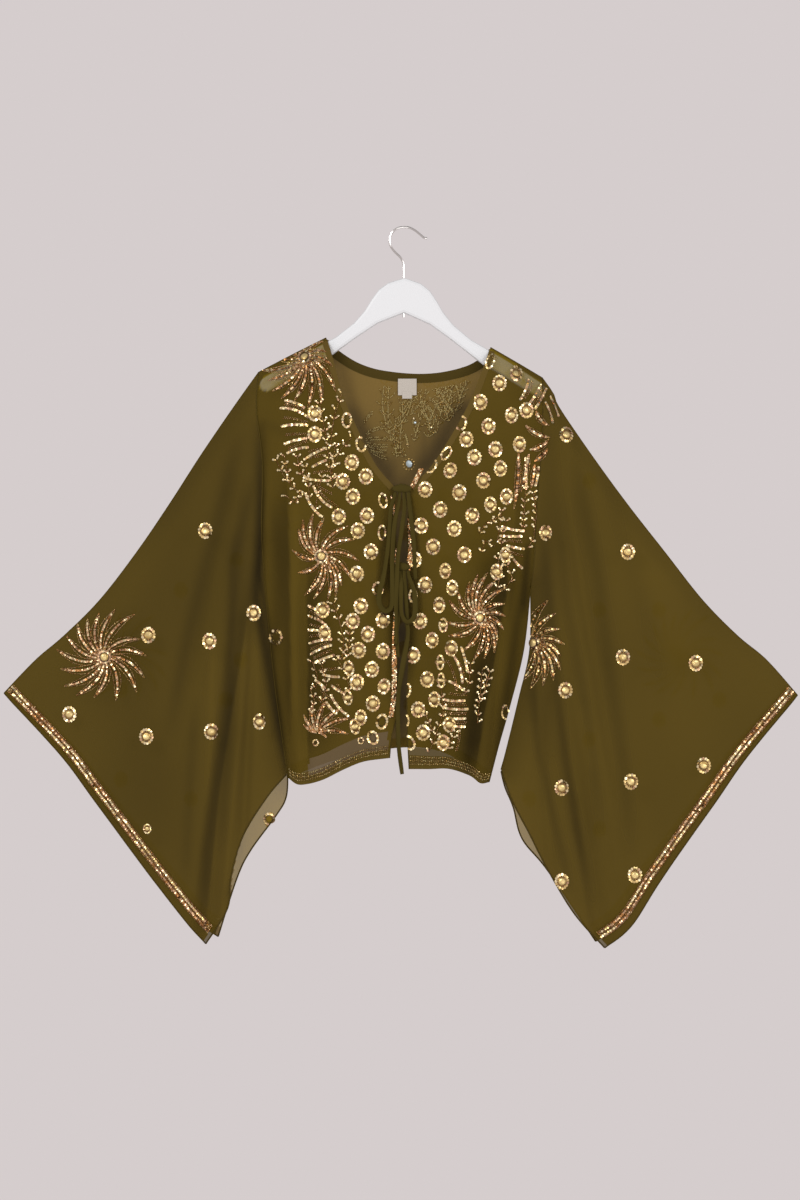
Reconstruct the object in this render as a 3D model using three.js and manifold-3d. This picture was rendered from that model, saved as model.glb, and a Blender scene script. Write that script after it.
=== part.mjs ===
// Tie-front blouse of sari georgette with wide angel sleeves, on a white wooden hanger.
// Millimetres, +Z up, front towards -Y. The origin is the underside of the hook's top bend,
// where a rail bears. Left and right are as seen from the front.
// Each outline below is a short table of [x, z] rows, read down or outward along the edge.
import * as THREE from 'three';
import { mergeVertices } from 'three/addons/utils/BufferGeometryUtils.js';
import Module from 'manifold-3d';

const wasm = await Module();
wasm.setup();

// Driving sizes
const WALL = 1.5;
const SEAM_GAP = 0.35;
const TRIM_WALL = 1;
const BODY_DEPTH = 19;
const HEM_SPREAD = 5;
const CUFF_DEPTH = 8;
const SHOULDER_ROUND = 26;
const SIDE_ROUND = 40;
const BODY_REACH = 160;
const SLEEVE_REACH = 540;
const ARMPIT_SHARE = 0.4;
const BAND_WIDTH = 8;
const TRIM_INSET = 7;
const TRIM_WIDTH = 13;

const SEAM_DEPTH = WALL + SEAM_GAP / 2;
const KNOT_SEAT = 21.6;

// Shoulder, armhole and side edges: [x, z] from the neck or the shoulder downward
const LEFT = {
  sign: -1,
  shoulder: [[-112, -159], [-160, -183], [-210, -209]],
  armhole: [[-210, -209], [-212, -266], [-204, -339], [-205, -422], [-205, -459]],
  side: [[-205, -459], [-199, -539], [-186, -667], [-167, -797]],
  neckline: [[-112, -159], [-104, -184], [-89, -240], [-67, -292], [-41, -343], [-14, -375]],
  opening: [[-14, -375], [-13, -408], [-10, -481], [-9, -597], [-9, -693], [-17, -735], [-20, -767]],
  hem: [[-20, -767], [-56, -772], [-85, -783], [-118, -799], [-150, -806], [-167, -797]],
  topFold: [[-210, -209], [-247, -261], [-294, -330], [-339, -400], [-386, -469], [-440, -539],
    [-492, -591], [-533, -626], [-579, -674]],
  underarm: [[-205, -459], [-199, -539], [-186, -667], [-168, -790]],
  frontMouth: [[-168, -790], [-196, -822], [-232, -880], [-249, -939], [-254, -984], [-286, -1036]],
  backMouth: [[-168, -790], [-171, -826], [-185, -852], [-223, -904], [-243, -945], [-270, -1029]],
  frontCuff: [[-579, -674], [-495, -765], [-443, -835], [-365, -939], [-310, -1009], [-286, -1036]],
  backCuff: [[-579, -674], [-490, -767], [-436, -837], [-356, -939], [-300, -1006], [-270, -1029]],
};
const RIGHT = {
  sign: 1,
  shoulder: [[126, -173], [164, -195], [201, -217]],
  armhole: [[201, -217], [200, -307], [193, -394], [189, -470], [184, -520]],
  side: [[184, -520], [174, -611], [153, -696], [138, -749], [124, -803]],
  neckline: [[126, -173], [116, -202], [95, -255], [66, -307], [37, -350], [10, -375]],
  opening: [[10, -375], [7, -408], [6, -481], [8, -597], [5, -684], [6, -742], [8, -783]],
  hem: [[8, -783], [38, -783], [67, -783], [96, -793], [111, -804], [124, -803]],
  topFold: [[201, -217], [217, -240], [226, -261], [273, -330], [324, -400], [378, -469], [433, -539],
    [484, -591], [526, -626], [571, -677]],
  underarm: [[184, -520], [183, -609], [168, -678], [149, -756], [141, -785]],
  frontMouth: [[141, -785], [157, -829], [181, -875], [207, -926], [246, -991], [291, -1042]],
  backMouth: [[141, -785], [148, -812], [160, -841], [173, -887], [210, -933], [280, -1036]],
  frontCuff: [[571, -677], [498, -765], [449, -835], [375, -939], [330, -1009], [291, -1042]],
  backCuff: [[571, -677], [492, -766], [442, -836], [366, -939], [321, -1003], [280, -1036]],
};
const BACK_NECK = [[-112, -159], [-96, -175], [-72, -191], [-51, -200], [-31, -205], [0, -209],
  [30, -210], [60, -207], [91, -199], [111, -188], [126, -173]];
const BACK_HEM = [[-167, -797], [-85, -768], [0, -754], [60, -762], [124, -803]];

// Largest folds: [top x, top z, foot x, foot z, half width, rise], valleys with a negative rise
const FRONT_FOLDS = [
  [-223, -290, -312, -720, 15, -6],
  [-266, -430, -352, -900, 22, 3],
  [-213, -330, -291, -1040, 15, -8],
  [-225, -470, -262, -1020, 12, 5],
  [-212, -470, -232, -880, 8, -6],
  [-160, -420, -156, -806, 9, 4],
  [-136, -440, -140, -800, 7, -4],
  [-70, -420, -62, -780, 14, -3],
  [221, -290, 300, -760, 15, -6],
  [262, -420, 372, -940, 22, 3],
  [205, -430, 262, -860, 14, -7],
  [192, -520, 286, -1020, 15, -8],
  [184, -600, 212, -900, 9, 5],
  [140, -470, 118, -800, 8, 4],
  [121, -480, 96, -790, 7, -4],
  [60, -440, 52, -780, 14, -3],
];
const BACK_FOLDS = [
  [-226, -300, -330, -760, 16, -6],
  [-214, -360, -300, -1000, 16, -7],
  [-218, -480, -246, -900, 10, 5],
  [-150, -430, -148, -800, 12, -5],
  [-40, -300, -52, -760, 18, -4],
  [58, -320, 44, -760, 16, -5],
  [136, -440, 112, -790, 11, -5],
  [222, -300, 318, -780, 16, -6],
  [202, -460, 278, -960, 16, -8],
  [186, -580, 222, -900, 10, 5],
];

// Grid rows from the shoulder to the hem, and columns as [share of the width, plus millimetres]
const ROWS = [0, 0.02, 0.045, 0.08, 0.15, 0.23, 0.32, 0.4, 0.47, 0.55, 0.63, 0.71, 0.79, 0.87, 0.97, 1];
const NECK_ROWS = ROWS.indexOf(ARMPIT_SHARE);
const FRONT_COLUMNS = [[0, 0], [0, BAND_WIDTH], [0.18, 4], [0.34, 2], [0.5, 0], [0.62, 0],
  [0.72, 0], [0.8, 0], [0.87, 0], [0.93, 0], [1, 0]];
const BACK_COLUMNS = [0, 0.03, 0.07, 0.12, 0.18, 0.24, 0.31, 0.33, 0.365, 0.41, 0.455, 0.5, 0.545,
  0.59, 0.635, 0.67, 0.69, 0.76, 0.82, 0.88, 0.93, 0.97, 1].map((share) => [share, 0]);
const SLEEVE_COLUMNS = [[0, 0], [0.03, 3], [0.06, 5], [0.1, 6], [0.16, 4], [0.23, 0], [0.31, 0],
  [0.4, 0], [0.5, 0], [0.6, 0], [0.7, 0], [0.8, 0], [1, -TRIM_INSET - TRIM_WIDTH],
  [1, -TRIM_INSET], [1, 0]];
const NECK_SHARES = [0.31, 0.69];

// Finishes
const cloth = { color: 0x5b4a20, roughness: 0.75, metalness: 0 };
const binding = { color: 0x40341a, roughness: 0.75, metalness: 0 };
const sequins = { color: 0xc9a25c, roughness: 0.3, metalness: 0.8 };
const paint = { color: 0xf2f0f1, roughness: 0.35, metalness: 0 };
const chrome = { color: 0xc8c6c2, roughness: 0.15, metalness: 1 };
const labelCloth = { color: 0xd9d2cd, roughness: 0.8, metalness: 0 };

const group = new THREE.Group();

function addPiece(name, geometry, finish) {
  const mesh = new THREE.Mesh(geometry, new THREE.MeshStandardMaterial(finish));
  mesh.name = name;
  group.add(mesh);
  return mesh;
}

function clampUnit(value) {
  return Math.min(1, Math.max(0, value));
}

function smoothUnit(value) {
  const t = clampUnit(value);
  return t * t * (3 - 2 * t);
}

// A smooth curve through the rows of one outline table
function curve(rows) {
  return new THREE.SplineCurve(rows.map(([x, z]) => new THREE.Vector2(x, z)));
}

// Two edges end to end, with their corner at the given share of the whole
function twoPart(first, second, split) {
  const upper = curve(first);
  const lower = curve(second);
  return (t) => (t <= split
    ? upper.getPointAt(clampUnit(t / split))
    : lower.getPointAt(clampUnit((t - split) / (1 - split))));
}

function onePart(rows) {
  const edge = curve(rows);
  return (t) => edge.getPointAt(clampUnit(t));
}

// The back's top edge: left shoulder, neck curve and right shoulder
function backTop(t) {
  const [neckStart, neckEnd] = NECK_SHARES;
  if (t < neckStart) return curve(LEFT.shoulder).getPointAt(1 - t / neckStart);
  if (t > neckEnd) return curve(RIGHT.shoulder).getPointAt((t - neckEnd) / (1 - neckEnd));
  return curve(BACK_NECK).getPointAt((t - neckStart) / (neckEnd - neckStart));
}

// A grid of points over the area inside four edges
function patch(edges, columns) {
  const { top, bottom, start, end } = edges;
  const corner = [top(0), top(1), bottom(0), bottom(1)];
  return ROWS.map((v) => columns.map(([share, extra]) => {
    const width = start(v).distanceTo(end(v));
    const u = clampUnit(share + extra / width);
    const across = top(u).multiplyScalar(1 - v).add(bottom(u).multiplyScalar(v));
    const down = start(v).multiplyScalar(1 - u).add(end(v).multiplyScalar(u));
    const corners = new THREE.Vector2()
      .addScaledVector(corner[0], (1 - u) * (1 - v))
      .addScaledVector(corner[1], u * (1 - v))
      .addScaledVector(corner[2], (1 - u) * v)
      .addScaledVector(corner[3], u * v);
    return across.add(down).sub(corners);
  }));
}

// Distance from a point to an edge, measured over its spaced points
function edgeDistance(points, x, z) {
  let nearest = Infinity;
  for (let i = 1; i < points.length; i += 1) {
    const a = points[i - 1];
    const b = points[i];
    const run = b.clone().sub(a);
    const along = clampUnit(((x - a.x) * run.x + (z - a.y) * run.y) / run.lengthSq());
    nearest = Math.min(nearest, Math.hypot(a.x + run.x * along - x, a.y + run.y * along - z));
  }
  return nearest;
}

const EDGE_STEPS = 24;
const seamsOf = {};
for (const [name, half] of [['left', LEFT], ['right', RIGHT]]) {
  const upper = [...half.shoulder.slice(0, -1), ...half.topFold];
  const shoulder = { points: curve(upper).getSpacedPoints(EDGE_STEPS), round: SHOULDER_ROUND };
  const side = { points: curve(half.side).getSpacedPoints(EDGE_STEPS), round: SIDE_ROUND };
  const underarm = { points: curve(half.underarm).getSpacedPoints(EDGE_STEPS), round: SIDE_ROUND };
  seamsOf[`${name}Body`] = [shoulder, side];
  seamsOf[`${name}Sleeve`] = [shoulder, underarm];
}

function foldRise(folds, x, z) {
  let sum = 0;
  for (const [topX, topZ, footX, footZ, halfWidth, rise] of folds) {
    const t = (z - topZ) / (footZ - topZ);
    const across = (x - topX - (footX - topX) * t) / halfWidth;
    sum += rise * Math.exp(-across * across) * smoothUnit(t / 0.3) * smoothUnit((1.15 - t) / 0.15);
  }
  return sum;
}

// How far the cloth's outer face stands from the middle plane
function depthAt(x, z, seams, folds) {
  const nearest = Math.min(...seams.map(({ points, round }) => edgeDistance(points, x, z) / round));
  const swell = Math.sin(Math.min(1, nearest) * Math.PI / 2);
  const outward = smoothUnit((Math.abs(x) - BODY_REACH) / (SLEEVE_REACH - BODY_REACH));
  const spread = HEM_SPREAD * smoothUnit((-z - 300) / 450) * (1 - outward);
  const full = BODY_DEPTH + spread + (CUFF_DEPTH - BODY_DEPTH) * outward;
  return SEAM_DEPTH + swell * (full + foldRise(folds, x, z) - SEAM_DEPTH);
}

// A closed wall over a grid of [x, z] points: outer face at depth + lift, inner face behind it
function wallOver(grid, depth, side, thickness, lift = 0) {
  const rows = grid.length;
  const columns = grid[0].length;
  const positions = [];
  for (const inset of [0, thickness]) {
    for (const row of grid) {
      for (const p of row) positions.push(p.x, side * (depth(p.x, p.y) + lift - inset), p.y);
    }
  }
  const at = (layer, j, i) => (layer * rows + j) * columns + i;
  const index = [];
  const quad = (a, b, c, d) => index.push(a, b, c, a, c, d);
  for (let j = 0; j < rows - 1; j += 1) {
    for (let i = 0; i < columns - 1; i += 1) {
      quad(at(0, j, i), at(0, j, i + 1), at(0, j + 1, i + 1), at(0, j + 1, i));
      quad(at(1, j, i), at(1, j + 1, i), at(1, j + 1, i + 1), at(1, j, i + 1));
    }
  }
  for (let i = 0; i < columns - 1; i += 1) {
    quad(at(1, 0, i), at(1, 0, i + 1), at(0, 0, i + 1), at(0, 0, i));
    quad(at(0, rows - 1, i), at(0, rows - 1, i + 1), at(1, rows - 1, i + 1), at(1, rows - 1, i));
  }
  for (let j = 0; j < rows - 1; j += 1) {
    quad(at(0, j, 0), at(0, j + 1, 0), at(1, j + 1, 0), at(1, j, 0));
    quad(at(1, j, columns - 1), at(1, j + 1, columns - 1), at(0, j + 1, columns - 1), at(0, j, columns - 1));
  }
  return facingOut(positions, index);
}

// Turns the faces round where the grid ran the other way
function facingOut(positions, index) {
  let volume = 0;
  const corner = [0, 1, 2].map(() => new THREE.Vector3());
  for (let t = 0; t < index.length; t += 3) {
    corner.forEach((v, k) => v.fromArray(positions, index[t + k] * 3));
    volume += corner[0].dot(corner[1].clone().cross(corner[2]));
  }
  const geometry = new THREE.BufferGeometry();
  geometry.setAttribute('position', new THREE.Float32BufferAttribute(positions, 3));
  geometry.setIndex(volume > 0 ? index : index.slice().reverse());
  geometry.computeVertexNormals();
  return geometry;
}

function shifted(rows, dx) {
  return rows.map(([x, z]) => [x + dx, z]);
}

function part(grid, rowFrom, rowTo, columnFrom, columnTo) {
  return grid.slice(rowFrom, rowTo + 1).map((row) => row.slice(columnFrom, columnTo + 1));
}

// Front panels, each with its neckline band outside and its turned-up hem band inside
function addFront(name, half) {
  const grid = patch({
    top: onePart(half.shoulder),
    bottom: onePart(half.hem),
    start: twoPart(half.neckline, half.opening, ARMPIT_SHARE),
    end: twoPart(half.armhole, half.side, ARMPIT_SHARE),
  }, FRONT_COLUMNS);
  const depth = (x, z) => depthAt(x, z, seamsOf[`${name}Body`], FRONT_FOLDS);
  const last = ROWS.length - 1;
  const edge = FRONT_COLUMNS.length - 1;
  addPiece(`front_${name}`, wallOver(grid, depth, -1, WALL), cloth);
  const band = part(grid, 1, NECK_ROWS, 0, 1);
  addPiece(`neckline_band_${name}`, wallOver(band, depth, -1, TRIM_WALL, TRIM_WALL + SEAM_GAP), binding);
  const hem = part(grid, last - 1, last, 0, edge - 1);
  addPiece(`hem_front_${name}`, wallOver(hem, depth, -1, TRIM_WALL, -WALL - SEAM_GAP), cloth);
}

// Back panel with its neck binding and hem band, both inside
function addBack() {
  const grid = patch({
    top: backTop,
    bottom: onePart(BACK_HEM),
    start: twoPart(LEFT.armhole, LEFT.side, ARMPIT_SHARE),
    end: twoPart(RIGHT.armhole, RIGHT.side, ARMPIT_SHARE),
  }, BACK_COLUMNS);
  const seams = [...seamsOf.leftBody, ...seamsOf.rightBody];
  const depth = (x, z) => depthAt(x, z, seams, BACK_FOLDS);
  const last = ROWS.length - 1;
  const shares = BACK_COLUMNS.map(([share]) => share);
  const [neckFrom, neckTo] = NECK_SHARES.map((share) => shares.indexOf(share));
  addPiece('back', wallOver(grid, depth, 1, WALL), cloth);
  const neck = part(grid, 0, 1, neckFrom + 1, neckTo - 1);
  addPiece('neck_binding', wallOver(neck, depth, 1, TRIM_WALL, -WALL - SEAM_GAP), binding);
  const hem = part(grid, last - 1, last, 1, shares.length - 2);
  addPiece('hem_back', wallOver(hem, depth, 1, TRIM_WALL, -WALL - SEAM_GAP), cloth);
  return depth;
}

// Sleeve halves, with a sequinned trim outside each cuff
function addSleeve(name, half) {
  const seams = seamsOf[`${name}Sleeve`];
  const last = SLEEVE_COLUMNS.length - 1;
  for (const [face, side, folds] of [['front', -1, FRONT_FOLDS], ['back', 1, BACK_FOLDS]]) {
    const gap = half.sign * SEAM_GAP;
    const grid = patch({
      top: onePart(shifted(half.topFold, gap)),
      bottom: onePart(shifted(half[`${face}Mouth`], gap)),
      start: twoPart(shifted(half.armhole, gap), shifted(half.underarm, gap), ARMPIT_SHARE),
      end: onePart(shifted(half[`${face}Cuff`], gap)),
    }, SLEEVE_COLUMNS);
    const depth = (x, z) => depthAt(x, z, seams, folds);
    addPiece(`sleeve_${name}_${face}`, wallOver(grid, depth, side, WALL), cloth);
    const trim = part(grid, 1, ROWS.length - 2, last - 2, last - 1);
    addPiece(`cuff_trim_${name}_${face}`, wallOver(trim, depth, side, TRIM_WALL, TRIM_WALL + SEAM_GAP), sequins);
  }
}

// Wooden hanger: half outline out from the middle, tilted a little on its hook as it hangs
const HANGER = {
  thick: 12,
  bevel: 4,
  tilt: THREE.MathUtils.degToRad(1.1),
  pivot: -150,
  top: [[0, -72], [24, -80], [37, -90], [47, -104], [57, -121], [72, -139], [98, -160], [150, -189],
    [186, -211], [203, -222], [206.6, -226], [208, -231.5]],
  under: [[206.6, -237], [203, -241], [196, -242], [115, -195], [67, -159], [38, -139], [0, -123]],
};

// Wire hook: centre line as [x, z] rows from its threaded end up to its tip
const HOOK = {
  wire: 3.2,
  sides: 10,
  steps: 64,
  path: [[0, -129], [0, -100], [0, -62], [0, -52], [-4, -43], [-13, -34], [-19, -25], [-20, -15],
    [-15.5, -5], [-8, 0.2], [0, 1.6], [8, 1], [16, -2.8], [24, -9], [30, -14], [34, -14.5]],
};

function solidOf(geometry) {
  const bare = geometry.clone();
  bare.deleteAttribute('normal');
  bare.deleteAttribute('uv');
  const merged = mergeVertices(bare, 1e-4);
  return new wasm.Manifold(new wasm.Mesh({
    numProp: 3,
    vertProperties: new Float32Array(merged.attributes.position.array),
    triVerts: new Uint32Array(merged.index.array),
  }));
}

function geometryOf(solid) {
  const mesh = solid.getMesh();
  const geometry = new THREE.BufferGeometry();
  geometry.setAttribute('position', new THREE.BufferAttribute(mesh.vertProperties, 3));
  geometry.setIndex(new THREE.BufferAttribute(mesh.triVerts, 1));
  geometry.computeVertexNormals();
  return geometry;
}

// The wood is cut from the flat of its outline and drilled for the hook's stem
function addHanger() {
  const rightHalf = [...HANGER.top, ...HANGER.under];
  const leftHalf = rightHalf.slice(1, -1).map(([x, z]) => [-x, z]).reverse();
  const outline = [...rightHalf, ...leftHalf].map(([x, z]) => new THREE.Vector2(x, z));
  const inner = new THREE.ExtrudeGeometry(new THREE.Shape(outline), {
    depth: HANGER.thick - 2 * HANGER.bevel,
    bevelThickness: HANGER.bevel,
    bevelSize: HANGER.bevel,
    bevelOffset: -HANGER.bevel,
    bevelSegments: 2,
    curveSegments: 1,
  });
  inner.translate(0, 0, HANGER.bevel - HANGER.thick / 2);
  inner.rotateX(Math.PI / 2);
  inner.translate(0, 0, -HANGER.pivot);
  inner.rotateY(HANGER.tilt);
  inner.translate(0, 0, HANGER.pivot);
  const bore = HOOK.wire / 2 + SEAM_GAP;
  const [woodTop, woodFoot] = [HANGER.top[0][1], HANGER.under.at(-1)[1]];
  const hole = new THREE.CylinderGeometry(bore, bore, 2 * (woodTop - woodFoot), 12);
  hole.rotateX(Math.PI / 2);
  hole.translate(0, 0, (woodTop + woodFoot) / 2);
  addPiece('hanger_wood', geometryOf(solidOf(inner).subtract(solidOf(hole))), paint);
}

function roundSection(diameter, sides) {
  const points = Array.from({ length: sides }, (_, i) => {
    const angle = (i / sides) * 2 * Math.PI;
    return new THREE.Vector2(Math.cos(angle), Math.sin(angle)).multiplyScalar(diameter / 2);
  });
  return new THREE.Shape(points);
}

function addHook() {
  const path = new THREE.CatmullRomCurve3(HOOK.path.map(([x, z]) => new THREE.Vector3(x, 0, z)));
  const wire = new THREE.ExtrudeGeometry(roundSection(HOOK.wire, HOOK.sides), {
    extrudePath: path,
    steps: HOOK.steps,
  });
  addPiece('hanger_hook', wire, chrome);
}

// Knots of the two tie fastenings: middle x, z, width, height and depth
const KNOTS = {
  upper: { x: -2, z: -378, width: 28, height: 10, depth: 6 },
  lower: { x: -3.5, z: -491, width: 25, height: 10, depth: 6 },
};

// Ties cut as narrow strips: centre lines as [x, y, z] rows from their knot, which has two
// loops hanging below it and the free ends
const TIE = { width: 5, thick: 2.4, sides: 8, step: 12 };
const TIES = {
  tie_upper_loop: [[-12, -24.6, -383.5], [-13, -25.5, -390], [-18, -30, -408], [-21, -31, -450],
    [-28, -31, -500], [-35, -31, -530], [-34, -31, -546], [-26, -31, -555], [-18, -31, -549],
    [-16.5, -31, -530], [-16, -31, -480], [-13, -31, -430], [-7, -29, -400], [-6, -25, -389],
    [-6, -24.6, -383.5]],
  tie_upper_end_left: [[1, -24.6, -383.5], [1, -25, -389], [1.5, -30, -408], [-3, -31, -440],
    [-8.5, -31, -480], [-10.5, -31, -530], [-10.5, -31, -570], [-11, -30.6, -603]],
  tie_upper_end_right: [[7, -24.6, -383.5], [7.4, -25, -389], [10, -27, -412], [14, -27, -450],
    [16, -27, -485], [17, -26.5, -510]],
  tie_lower_loop: [[-4.1, -25.6, -496.5], [-4.1, -26.5, -503], [-3.4, -31, -520], [-3.8, -31.5, -548],
    [-2, -31.5, -562], [5, -31.5, -571], [14.5, -31.5, -565], [17, -31.5, -550], [15, -31.5, -526],
    [9, -29.5, -509], [6.7, -26.2, -502], [6.7, -25.6, -496.5]],
  tie_lower_end_left: [[-12.2, -25.6, -496.5], [-12, -26, -503], [-10, -27.4, -525], [-8, -27.5, -560],
    [-10, -27.5, -585], [-8, -27.5, -622]],
  tie_lower_end_right: [[1.2, -25.6, -496.5], [1.3, -26, -503], [3, -27.4, -530], [5, -27.5, -570],
    [6, -28, -590], [-1, -28.5, -633], [-7, -28.5, -672], [-8, -28.5, -713], [-7, -28.5, -750],
    [-2, -28.5, -790]],
};

// Each knot is seated on the front's edges, with the two tie strips that lead into it
function addKnot(name, knot) {
  const { x, z, width, height, depth } = knot;
  const corner = height / 3;
  const [w, h] = [width / 2, height / 2];
  const outline = new THREE.Shape();
  outline.moveTo(-w, -h);
  outline.lineTo(w, -h);
  outline.lineTo(w, h - corner);
  outline.quadraticCurveTo(w, h, w - corner, h);
  outline.lineTo(corner - w, h);
  outline.quadraticCurveTo(-w, h, -w, h - corner);
  const solid = new THREE.ExtrudeGeometry(outline, { depth, bevelEnabled: false, curveSegments: 3 });
  solid.rotateX(Math.PI / 2);
  const mesh = addPiece(`knot_${name}`, solid, cloth);
  mesh.position.set(x, -KNOT_SEAT, z);
}

// A strip's centre line, along which its flat side keeps facing the front
class StripPath extends THREE.CatmullRomCurve3 {
  computeFrenetFrames(segments) {
    const front = new THREE.Vector3(0, -1, 0);
    const frames = { tangents: [], normals: [], binormals: [] };
    for (let i = 0; i <= segments; i += 1) {
      const tangent = this.getTangentAt(i / segments);
      const across = tangent.clone().cross(front).normalize();
      frames.tangents.push(tangent);
      frames.normals.push(across.clone().cross(tangent));
      frames.binormals.push(across);
    }
    return frames;
  }
}

function addTies() {
  for (const [name, rows] of Object.entries(TIES)) {
    const path = new StripPath(rows.map((row) => new THREE.Vector3(...row)));
    const section = new THREE.Shape(roundSection(1, TIE.sides).getPoints()
      .map((p) => new THREE.Vector2(p.x * TIE.thick, p.y * TIE.width)));
    const strip = new THREE.ExtrudeGeometry(section, {
      extrudePath: path,
      steps: Math.round(path.getLength() / TIE.step),
    });
    addPiece(name, strip, cloth);
  }
}

// Bare woven label and its small tab, inside the back of the neck
const LABEL = { width: 27, height: 24, top: -217, x: 5.5, thick: 0.5 };
const TAB = { width: 14, height: 10, top: -236, x: 5.2, thick: 0.5 };

function addLabel(backDepth) {
  const bindingFace = backDepth(0, LABEL.top) - WALL - SEAM_GAP - TRIM_WALL;
  for (const [name, size, face] of [['label', LABEL, bindingFace - SEAM_GAP],
    ['label_tab', TAB, bindingFace + SEAM_GAP]]) {
    const plate = addPiece(name, new THREE.BoxGeometry(size.width, size.thick, size.height), labelCloth);
    const away = name === 'label' ? -size.thick / 2 : size.thick / 2;
    plate.position.set(size.x, face + away, size.top - size.height / 2);
  }
}

addFront('left', LEFT);
addFront('right', RIGHT);
const backDepth = addBack();
addSleeve('left', LEFT);
addSleeve('right', RIGHT);

addLabel(backDepth);
addHanger();
addHook();
addKnot('upper', KNOTS.upper);
addKnot('lower', KNOTS.lower);
addTies();

export default group;
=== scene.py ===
# Tie-front blouse of embroidered sari georgette with wide angel sleeves, on a wooden hanger.
# Sizes are millimetres unless a name ends in _M, turned to metres where a mesh is made.
# Front faces -Y, left and right are as seen from the front, and the origin is where the rail bears.
import math
import random

import bpy
import numpy as np
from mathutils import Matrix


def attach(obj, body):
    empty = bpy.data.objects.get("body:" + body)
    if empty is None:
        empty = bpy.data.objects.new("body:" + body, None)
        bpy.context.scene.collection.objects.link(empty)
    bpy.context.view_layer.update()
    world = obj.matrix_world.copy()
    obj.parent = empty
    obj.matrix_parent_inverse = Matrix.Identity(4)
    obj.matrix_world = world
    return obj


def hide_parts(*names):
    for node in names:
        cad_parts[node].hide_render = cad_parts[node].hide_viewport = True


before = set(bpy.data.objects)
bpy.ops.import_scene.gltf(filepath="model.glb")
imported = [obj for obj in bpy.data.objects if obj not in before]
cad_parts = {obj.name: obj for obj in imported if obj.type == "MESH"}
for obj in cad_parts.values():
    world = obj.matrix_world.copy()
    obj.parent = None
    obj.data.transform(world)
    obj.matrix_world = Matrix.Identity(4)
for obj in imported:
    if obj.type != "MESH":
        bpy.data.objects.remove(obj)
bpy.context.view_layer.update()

MM = 0.001
seed = random.Random(7)

# Cloth walls, as in the solids. Depth grows from the seams inward, and from the cuffs to the body
WALL = 1.5
SEAM_GAP = 0.35
BODY_DEPTH = 19
HEM_SPREAD = 5
SPREAD_FROM = 300
SPREAD_RUN = 450
CUFF_DEPTH = 8
SHOULDER_ROUND = 26
SIDE_ROUND = 40
BODY_REACH = 160
SLEEVE_REACH = 540
ARMPIT_SHARE = 0.4
SEAM_DEPTH = WALL + SEAM_GAP / 2

# Edges as [x, z] rows, read downward or outward along each edge
LEFT = {
    "sign": -1,
    "shoulder": [(-112, -159), (-160, -183), (-210, -209)],
    "armhole": [(-210, -209), (-212, -266), (-204, -339), (-205, -422), (-205, -459)],
    "side": [(-205, -459), (-199, -539), (-186, -667), (-167, -797)],
    "neckline": [(-112, -159), (-104, -184), (-89, -240), (-67, -292), (-41, -343), (-14, -375)],
    "opening": [(-14, -375), (-13, -408), (-10, -481), (-9, -597), (-9, -693), (-17, -735),
                (-20, -767)],
    "hem": [(-20, -767), (-56, -772), (-85, -783), (-118, -799), (-150, -806), (-167, -797)],
    "top_fold": [(-210, -209), (-247, -261), (-294, -330), (-339, -400), (-386, -469),
                 (-440, -539), (-492, -591), (-533, -626), (-579, -674)],
    "underarm": [(-205, -459), (-199, -539), (-186, -667), (-168, -790)],
    "front_mouth": [(-168, -790), (-196, -822), (-232, -880), (-249, -939), (-254, -984),
                    (-286, -1036)],
    "back_mouth": [(-168, -790), (-171, -826), (-185, -852), (-223, -904), (-243, -945),
                   (-270, -1029)],
    "front_cuff": [(-579, -674), (-495, -765), (-443, -835), (-365, -939), (-310, -1009),
                   (-286, -1036)],
    "back_cuff": [(-579, -674), (-490, -767), (-436, -837), (-356, -939), (-300, -1006),
                  (-270, -1029)],
}
RIGHT = {
    "sign": 1,
    "shoulder": [(126, -173), (164, -195), (201, -217)],
    "armhole": [(201, -217), (200, -307), (193, -394), (189, -470), (184, -520)],
    "side": [(184, -520), (174, -611), (153, -696), (138, -749), (124, -803)],
    "neckline": [(126, -173), (116, -202), (95, -255), (66, -307), (37, -350), (10, -375)],
    "opening": [(10, -375), (7, -408), (6, -481), (8, -597), (5, -684), (6, -742), (8, -783)],
    "hem": [(8, -783), (38, -783), (67, -783), (96, -793), (111, -804), (124, -803)],
    "top_fold": [(201, -217), (217, -240), (226, -261), (273, -330), (324, -400), (378, -469),
                 (433, -539), (484, -591), (526, -626), (571, -677)],
    "underarm": [(184, -520), (183, -609), (168, -678), (149, -756), (141, -785)],
    "front_mouth": [(141, -785), (157, -829), (181, -875), (207, -926), (246, -991),
                    (291, -1042)],
    "back_mouth": [(141, -785), (148, -812), (160, -841), (173, -887), (210, -933),
                   (280, -1036)],
    "front_cuff": [(571, -677), (498, -765), (449, -835), (375, -939), (330, -1009),
                   (291, -1042)],
    "back_cuff": [(571, -677), (492, -766), (442, -836), (366, -939), (321, -1003),
                  (280, -1036)],
}
HALVES = {"left": LEFT, "right": RIGHT}
FACES = {"front": -1, "back": 1}
BACK_NECK = [(-112, -159), (-96, -175), (-72, -191), (-51, -200), (-31, -205), (0, -209),
             (30, -210), (60, -207), (91, -199), (111, -188), (126, -173)]
BACK_HEM = [(-167, -797), (-85, -768), (0, -754), (60, -762), (124, -803)]
NECK_SHARES = (0.31, 0.69)

# A fold rises over its first share, and fades over its last share up to past its foot
FOLD_HEAD = 0.3
FOLD_FOOT = 0.15
FOLD_END = 1.15

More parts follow.
